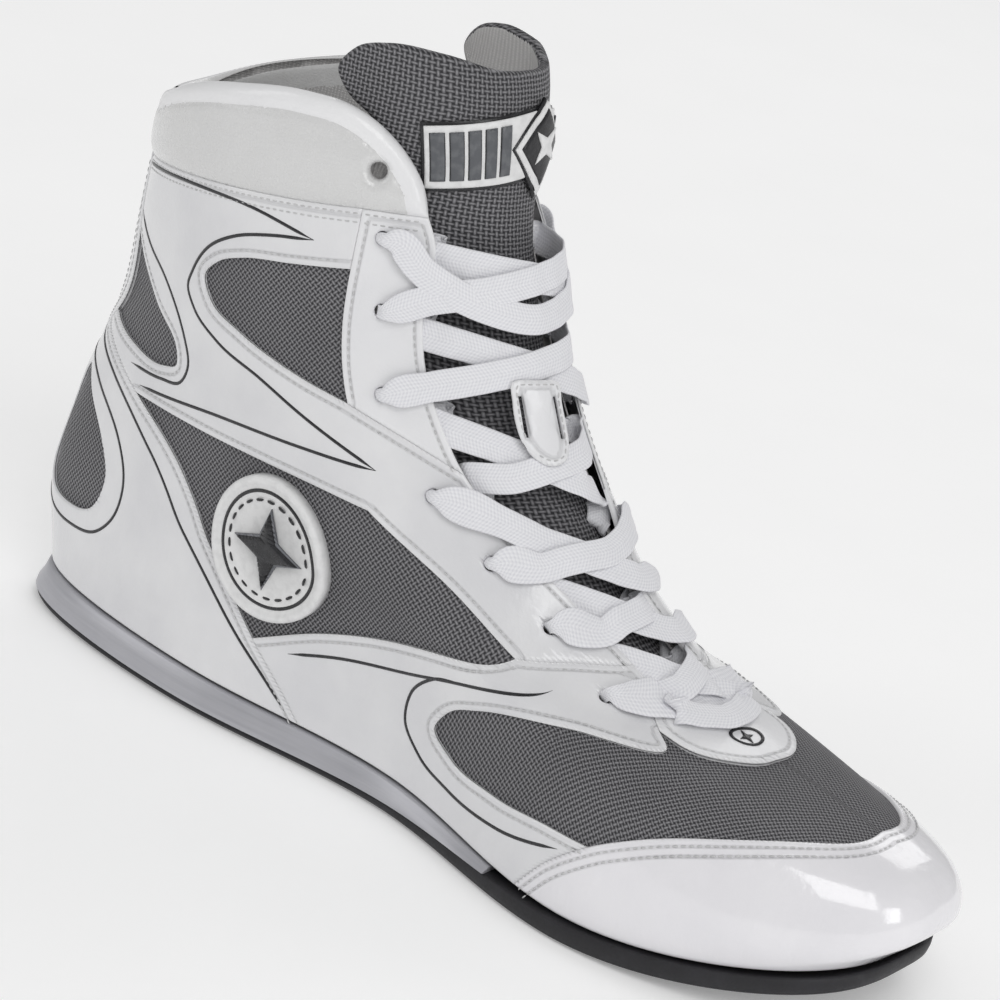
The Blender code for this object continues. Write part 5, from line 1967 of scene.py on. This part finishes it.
@dataclass
class Lace:
    """One flat lace through every eyelet, as a soft ribbon."""

    width: float = 8.0
    thickness: float = 1.0
    narrow: float = 3.2
    over: float = 1.0
    crossing: float = 2.5
    under: float = -5.3
    inward: tuple[bool, ...] = (True, False, False, True, False, False, False)

    def beside(
        self,
        eyelet: Spot,
        side: float,
        mm: float,
        rise: float,
        lift: float,
        width: float,
    ) -> tuple[float, ...]:
        """A step mm in front of an eyelet along its loop."""
        across = float(np.linalg.norm(UPPER.tangents(side * eyelet[0], eyelet[1])[0]))
        return (side * (eyelet[0] + mm / across), eyelet[1] + rise, lift, width)

    def edge(self, height: float) -> float:
        """Angle of the eyestay's front edge at a height."""
        rows = STAY_FRONT[::-1]
        return float(np.interp(height, [h for a, h in rows], [a for a, h in rows]))

    def up_through(self, eyelet: Spot, side: float) -> Steps:
        """Steps back under the eyestay and up through an eyelet."""
        return [
            self.beside(eyelet, side, 3.0, 0.1, self.under, 3.8),
            self.beside(eyelet, side, 0.6, 0.0, self.under + 0.1, self.narrow),
            self.beside(eyelet, side, -0.3, 0.0, -3.8, self.narrow),
            self.beside(eyelet, side, -0.3, 0.0, -0.4, self.narrow),
        ]

    def over_edge(self, eyelet: Spot, side: float) -> Steps:
        """Steps from the mouth of an eyelet forward over the eyestay."""
        return [
            self.beside(eyelet, side, 1.0, 0.0, self.over + 0.5, 3.8),
            self.beside(eyelet, side, 3.4, 0.1, self.over + 0.8, 6.6),
        ]

    def crossing_to(self, row: int, side: float) -> Steps:
        """Steps over the tongue from one row's side to the next row's other side."""
        low, high = EYELETS[row], EYELETS[row + 1]
        rise = high[1] - low[1]
        edge = self.edge(low[1] + 0.2 * rise)
        far = self.edge(low[1] + 0.8 * rise)
        lift = self.crossing if side > 0 else self.over
        if self.inward[row]:
            start = [
                (side * (edge + 2.0), low[1] + 0.12 * rise, self.under, 6.4),
                (side * (edge - 4.0), low[1] + 0.28 * rise, -3.4, self.width),
            ]
        else:
            leave = self.over_edge(low, side)
            leave = [
                (a, h + share * rise, lift_by, wide)
                for (a, h, lift_by, wide), share in zip(leave, (0.01, 0.05))
            ]
            start = [*leave, (side * (edge + 1.0), low[1] + 0.26 * rise, self.over + 0.8, self.width)]
        middle = [
            (side * edge * 0.5, low[1] + 0.46 * rise, lift, self.width),
            (0, low[1] + 0.62 * rise, lift, self.width),
            (-side * far * 0.5, low[1] + 0.74 * rise, lift - 0.6, self.width),
        ]
        if self.inward[row + 1]:
            end = [
                (-side * (far + 1.0), low[1] + 0.9 * rise, self.over + 0.8, self.width),
                *self.over_edge(high, -side)[::-1],
            ]
        else:
            end = [
                (-side * (far - 4.0), low[1] + 0.88 * rise, -3.4, self.width),
                (-side * (far + 2.0), low[1] + 0.95 * rise, self.under, 6.4),
            ]
        return [*start, *middle, *end]

    def strand(self, side: float) -> Steps:
        """One half of the lace, from the first row's eyelet to under the last row's."""
        route = self.up_through(EYELETS[0], side)[::-1]
        for row, high in enumerate(EYELETS[1:]):
            route += self.crossing_to(row, side)
            side = -side
            through = self.up_through(high, side)
            route += through[::-1] if self.inward[row + 1] else through
        return route

    def swag(self) -> Steps:
        """The slack top row, from the lateral to the medial eyelet."""
        top = EYELETS[-1]
        edge = self.edge(top[1] - 3)
        middle = [
            (-edge * 1.05, top[1] - 3.6, self.over + 0.9, self.width),
            (-edge * 0.5, top[1] - 7.4, self.over + 1.0, self.width),
            (0, top[1] - 8.6, self.over + 1.4, self.width),
            (edge * 0.5, top[1] - 7.4, self.over + 1.4, self.width),
            (edge * 1.05, top[1] - 3.6, self.over + 0.9, self.width),
        ]
        into = [*self.over_edge(top, 1)[::-1], *self.up_through(top, 1)[::-1][:3]]
        return [*self.over_edge(top, -1), *middle, *into]

    def route(self) -> np.ndarray:
        """The whole route, as rows of (angle, height, lift, width)."""
        first = EYELETS[0]
        bar = [(a, first[1] + 0.3, self.over + 1.1, self.width) for a in (-18, 0, 18)]
        low = [*self.over_edge(first, -1), *bar, *self.over_edge(first, 1)[::-1]]
        far = self.strand(1)
        steps = [*self.swag()[::-1], *self.strand(-1)[::-1], *low, *far[:-2]]
        return np.array(steps, float)

    def build(self) -> None:
        """Make the ribbon."""
        steps = self.route()
        places = UPPER.at(steps[:, 0], steps[:, 1], steps[:, 2])
        up = UPPER.tangents(steps[:, 0], steps[:, 1])[1]
        up = unit(up)
        lengths = np.maximum(np.linalg.norm(np.diff(places, axis=0), axis=1), 0.3)
        keys = np.concatenate([[0], np.cumsum(lengths)])
        where = np.linspace(0, keys[-1], int(keys[-1] / 0.9))
        table = blended(keys, np.concatenate([places, up, steps[:, 3:]], axis=1), where)
        centre, up, width = table[:, :3], table[:, 3:6], table[:, 6]
        way = np.gradient(centre, axis=0)
        way = unit(way)
        across = up - way * (up * way).sum(axis=1, keepdims=True)
        for _ in range(10):
            across[1:-1] = (across[:-2] + across[1:-1] * 2 + across[2:]) / 4
        across -= way * (across * way).sum(axis=1, keepdims=True)
        across = unit(across)
        through = np.cross(way, across)
        along = run(centre)
        bunch = np.clip((self.width - width) / (self.width - self.narrow), 0, 1)
        thick = self.thickness * (1 + 1.1 * bunch)
        wave = 0.16 * np.sin(along * 0.83) + 0.12 * np.sin(along * 0.37 + 1.0)
        sides = 16
        rings, flat = [], []
        for k in range(sides):
            turn = 2 * math.pi * k / sides
            c, s = math.cos(turn), math.sin(turn)
            wide = math.copysign(abs(c) ** 0.55, c)
            tall = math.copysign(abs(s) ** 0.8, s)
            fold = bunch * 0.9 * math.cos(3 * math.pi * wide)
            rise = tall * thick / 2 + fold * 0.45 + wave * (1 - bunch) * (0.4 + 0.6 * abs(wide))
            rings.append(centre + across * (wide * width / 2)[:, None] + through * rise[:, None])
            flat.append(np.stack([along, np.full(len(along), wide * self.width / 2)], -1))
        vertices = np.stack(rings, axis=1).reshape(-1, 3)
        uv = np.stack(flat, axis=1).reshape(-1, 2)
        faces = grid_faces(len(centre), sides, closed=True)
        faces.append(list(range(sides - 1, -1, -1)))
        faces.append([len(vertices) - sides + k for k in range(sides)])
        piece = add_mesh("lace_ribbon", vertices, faces, Finish.LACE, uv)
        facing_out(piece)
        fit(piece, Joint.FLEX, "lace")


@dataclass
class Sole:
    """Outsole, midsole wedge, insole board and sockliner."""

    heel: float = 7.0
    length: float = 283.0
    wedge_end: float = 192.0
    steps: int = 110
    columns: int = 14

    def ring(
        self,
        spread: float,
        level: Any,
        x_from: float | None,
        x_to: float | None,
    ) -> tuple[np.ndarray, np.ndarray]:
        """The medial and lateral halves of a ring of the sole.

        Args:
            spread: How far it stands out from the feather line.
            level: Function from x to height.
            x_from: Where it starts, or None for the heel.
            x_to: Where it ends, or None for the toe.

        Returns:
            Points of each half, from heel to toe.
        """
        reach = self.length / 2 + spread
        middle = self.heel + self.length / 2
        start = math.acos(np.clip((x_from - middle) / reach, -1, 1)) if x_from is not None else math.pi
        end = math.acos(np.clip((x_to - middle) / reach, -1, 1)) if x_to is not None else 0.0
        theta = np.linspace(start, end, self.steps)
        x = middle + reach * np.cos(theta)
        halves = []
        for side in (-1.0, 1.0):
            bend = np.abs(np.sin(theta))
            width = UPPER.half_width(side * theta, np.zeros_like(theta)) * bend**0.62 + spread * bend**0.3
            halves.append(np.stack([x, side * width, level(x)], -1))
        return halves[0], halves[1]

    def plate(
        self,
        name: str,
        levels: Sequence[tuple[float, Any]],
        finish: Finish,
        x_from: float | None = None,
        x_to: float | None = None,
    ) -> Any:
        """A solid plate from rings of (spread, level), bottom first."""
        vertices: list[np.ndarray] = []
        faces: list[list[int]] = []
        rings = [self.ring(spread, level, x_from, x_to) for spread, level in levels]
        shares = np.linspace(0, 1, self.columns)
        for which, flip in ((0, True), (-1, False)):
            medial, lateral = rings[which]
            first = sum(len(v) for v in vertices)
            sheet = medial[:, None] * (1 - shares)[None, :, None] + lateral[:, None] * shares[None, :, None]
            vertices.append(sheet.reshape(-1, 3))
            for face in grid_faces(self.steps, self.columns):
                shifted = [first + k for k in face]
                faces.append(shifted[::-1] if flip else shifted)
        for side in (0, 1):
            first = sum(len(v) for v in vertices)
            wall = np.stack([ring[side] for ring in rings])
            vertices.append(wall.reshape(-1, 3))
            for face in grid_faces(len(rings), self.steps):
                shifted = [first + k for k in face]
                faces.append(shifted if side else shifted[::-1])
        for end, cut in ((0, x_from), (self.steps - 1, x_to)):
            if cut is not None:
                for low, high in zip(rings[:-1], rings[1:]):
                    first = sum(len(v) for v in vertices)
                    vertices.append(np.array([low[0][end], low[1][end], high[1][end], high[0][end]]))
                    faces.append([first, first + 1, first + 2, first + 3])
        made = add_mesh(name, np.concatenate(vertices), faces, finish)
        with editing(made.data) as bm:
            bmesh.ops.remove_doubles(bm, verts=bm.verts, dist=2e-5)
            bmesh.ops.recalc_face_normals(bm, faces=bm.faces)
        made.data.set_sharp_from_angle(angle=math.radians(50))
        return made

    def build(self) -> None:
        """Make every layer of the sole."""
        top, ground, feather = UPPER.outsole_top, UPPER.toe_lift, UPPER.feather
        outsole = (
            (0.2, lambda x: ground(x)),
            (1.1, lambda x: ground(x) + 0.15),
            (1.9, lambda x: ground(x) + 0.7),
            (2.3, lambda x: (ground(x) + top(x)) / 2),
            (2.3, lambda x: top(x) - 0.5),
            (2.0, lambda x: top(x) - 0.12),
            (1.2, lambda x: top(x)),
        )
        fit(
            self.plate("outsole_tread", outsole, Finish.RUBBER), Joint.FLEX, "outsole_rear", "outsole_front"
        )
        wedge = (
            (2.0, lambda x: top(x) + 0.05),
            (2.9, lambda x: top(x) + 0.35),
            (2.6, lambda x: top(x) + 0.25 * (feather(x) - top(x))),
            (1.5, lambda x: top(x) + 0.55 * (feather(x) - top(x))),
            (0.7, lambda x: feather(x) - 0.7),
            (0.1, lambda x: feather(x) - 0.2),
            (-2.0, lambda x: feather(x) - 0.1),
        )
        fit(
            self.plate("midsole_band", wedge, Finish.BAND, None, self.wedge_end),
            Joint.FLEX,
            "midsole_wedge",
        )
        board = ((-5.8, lambda x: feather(x) + 0.3), (-5.8, lambda x: feather(x) + 2.3))
        fit(
            self.plate("insole_board", board, Finish.BOARD),
            Joint.FLEX,
            "insole_board_rear",
            "insole_board_front",
        )
        liner = (
            (-6.6, lambda x: feather(x) + 2.6),
            (-6.2, lambda x: feather(x) + 3.4),
            (-6.4, lambda x: feather(x) + 4.6),
            (-7.4, lambda x: feather(x) + 5.1),
        )
        fit(self.plate("sockliner_cloth", liner, Finish.BACKING), Joint.FLEX, "sockliner")


@dataclass
class Studio:
    """Pale floor, soft lights and the camera."""

    target: tuple[float, float, float] = (-0.003623, -0.000039, 0.080)
    turn: float = 32.1
    climb: float = 21.4
    roll: float = 13.1
    distance: float = 1.026
    lens: float = 139.46

    def light(
        self,
        name: str,
        place: Sequence[float],
        aim: Sequence[float],
        size: Spot,
        power: float,
    ) -> None:
        """Add one soft box."""
        data = bpy.data.lights.new(name, "AREA")
        data.shape = "RECTANGLE"
        data.size, data.size_y = size
        data.energy = power
        made = put(name, data)
        made.location = place
        made.rotation_euler = (Vector(aim) - Vector(place)).to_track_quat("-Z", "Y").to_euler()

    def floor(self) -> None:
        """Add the flat floor."""
        mesh = bpy.data.meshes.new("floor")
        size = 6.0
        mesh.from_pydata(
            [(-size, -size, 0), (size, -size, 0), (size, size, 0), (-size, size, 0)], [], [(0, 1, 2, 3)]
        )
        graph = Graph("floor_paper")
        shade = graph.noise(60.0, 2.0)
        graph.surface(Base_Color=graph.mix(shade, (0.88, 0.88, 0.88), (0.91, 0.91, 0.91)), Roughness=0.85)
        graph.surface(Emission_Color=(1.0, 1.0, 1.0), Emission_Strength=0.22)
        mesh.materials.append(graph.material)
        made = put("floor", mesh)
        made.location = (0, 0, -0.0004)

    def camera(self) -> None:
        """Add the camera."""
        a, e, r = (math.radians(v) for v in (self.turn, self.climb, self.roll))
        right = Vector((math.cos(a), math.sin(a), 0))
        back = Vector((math.sin(a) * math.cos(e), -math.cos(a) * math.cos(e), math.sin(e)))
        up = back.cross(right)
        across = right * math.cos(r) + up * math.sin(r)
        above = up * math.cos(r) - right * math.sin(r)
        place = Vector(self.target) + back * self.distance - across * 0.00064 + above * 0.00201
        data = bpy.data.cameras.new("camera")
        data.lens = self.lens
        data.sensor_width = 36.0
        made = put("camera", data)
        axes = Matrix((across, above, back)).transposed().to_4x4()
        made.matrix_world = Matrix.Translation(place) @ axes
        bpy.context.scene.camera = made

    def build(self) -> None:
        """Set the scene."""
        scene = bpy.context.scene
        scene.view_settings.view_transform = "Standard"
        world = bpy.data.worlds.new("studio")
        scene.world = world
        world.use_nodes = True
        background = world.node_tree.nodes["Background"]
        background.inputs["Color"].default_value = (1.0, 1.0, 1.0, 1.0)
        background.inputs["Strength"].default_value = 0.42
        self.light("key", (0.9, -0.9, 1.3), (0.02, 0, 0.08), (0.9, 0.9), 7.5)
        self.light("front", (1.3, -0.3, 0.55), (0.1, 0, 0.06), (0.35, 0.6), 2.6)
        self.light("left", (-1.2, -0.9, 0.9), (-0.05, 0, 0.08), (0.5, 1.2), 3.6)
        self.light("rear", (-0.4, 1.2, 1.1), (0, 0, 0.1), (1.2, 0.6), 4.0)
        self.floor()
        self.camera()


def main() -> None:
    """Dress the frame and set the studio."""
    logging.basicConfig(level=logging.INFO, format="%(name)s: %(message)s")
    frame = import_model()
    Studio().build()
    for part in (
        Sole(),
        Inside(),
        MeshPanels(),
        Overlays(),
        Stripes(),
        Collar(),
        Tongue(),
        Badges(),
        Lace(),
    ):
        LOG.info("building %s", type(part).__name__)
        part.build()
    left = [name for name, node in frame["nodes"].items() if not node.hide_render]
    LOG.info("CAD nodes still shown: %s", left)
    for node in frame["nodes"].values():
        node.data.materials.clear()
        node.data.materials.append(Finish.BACKING.material())


if __name__ == "__main__":
    main()
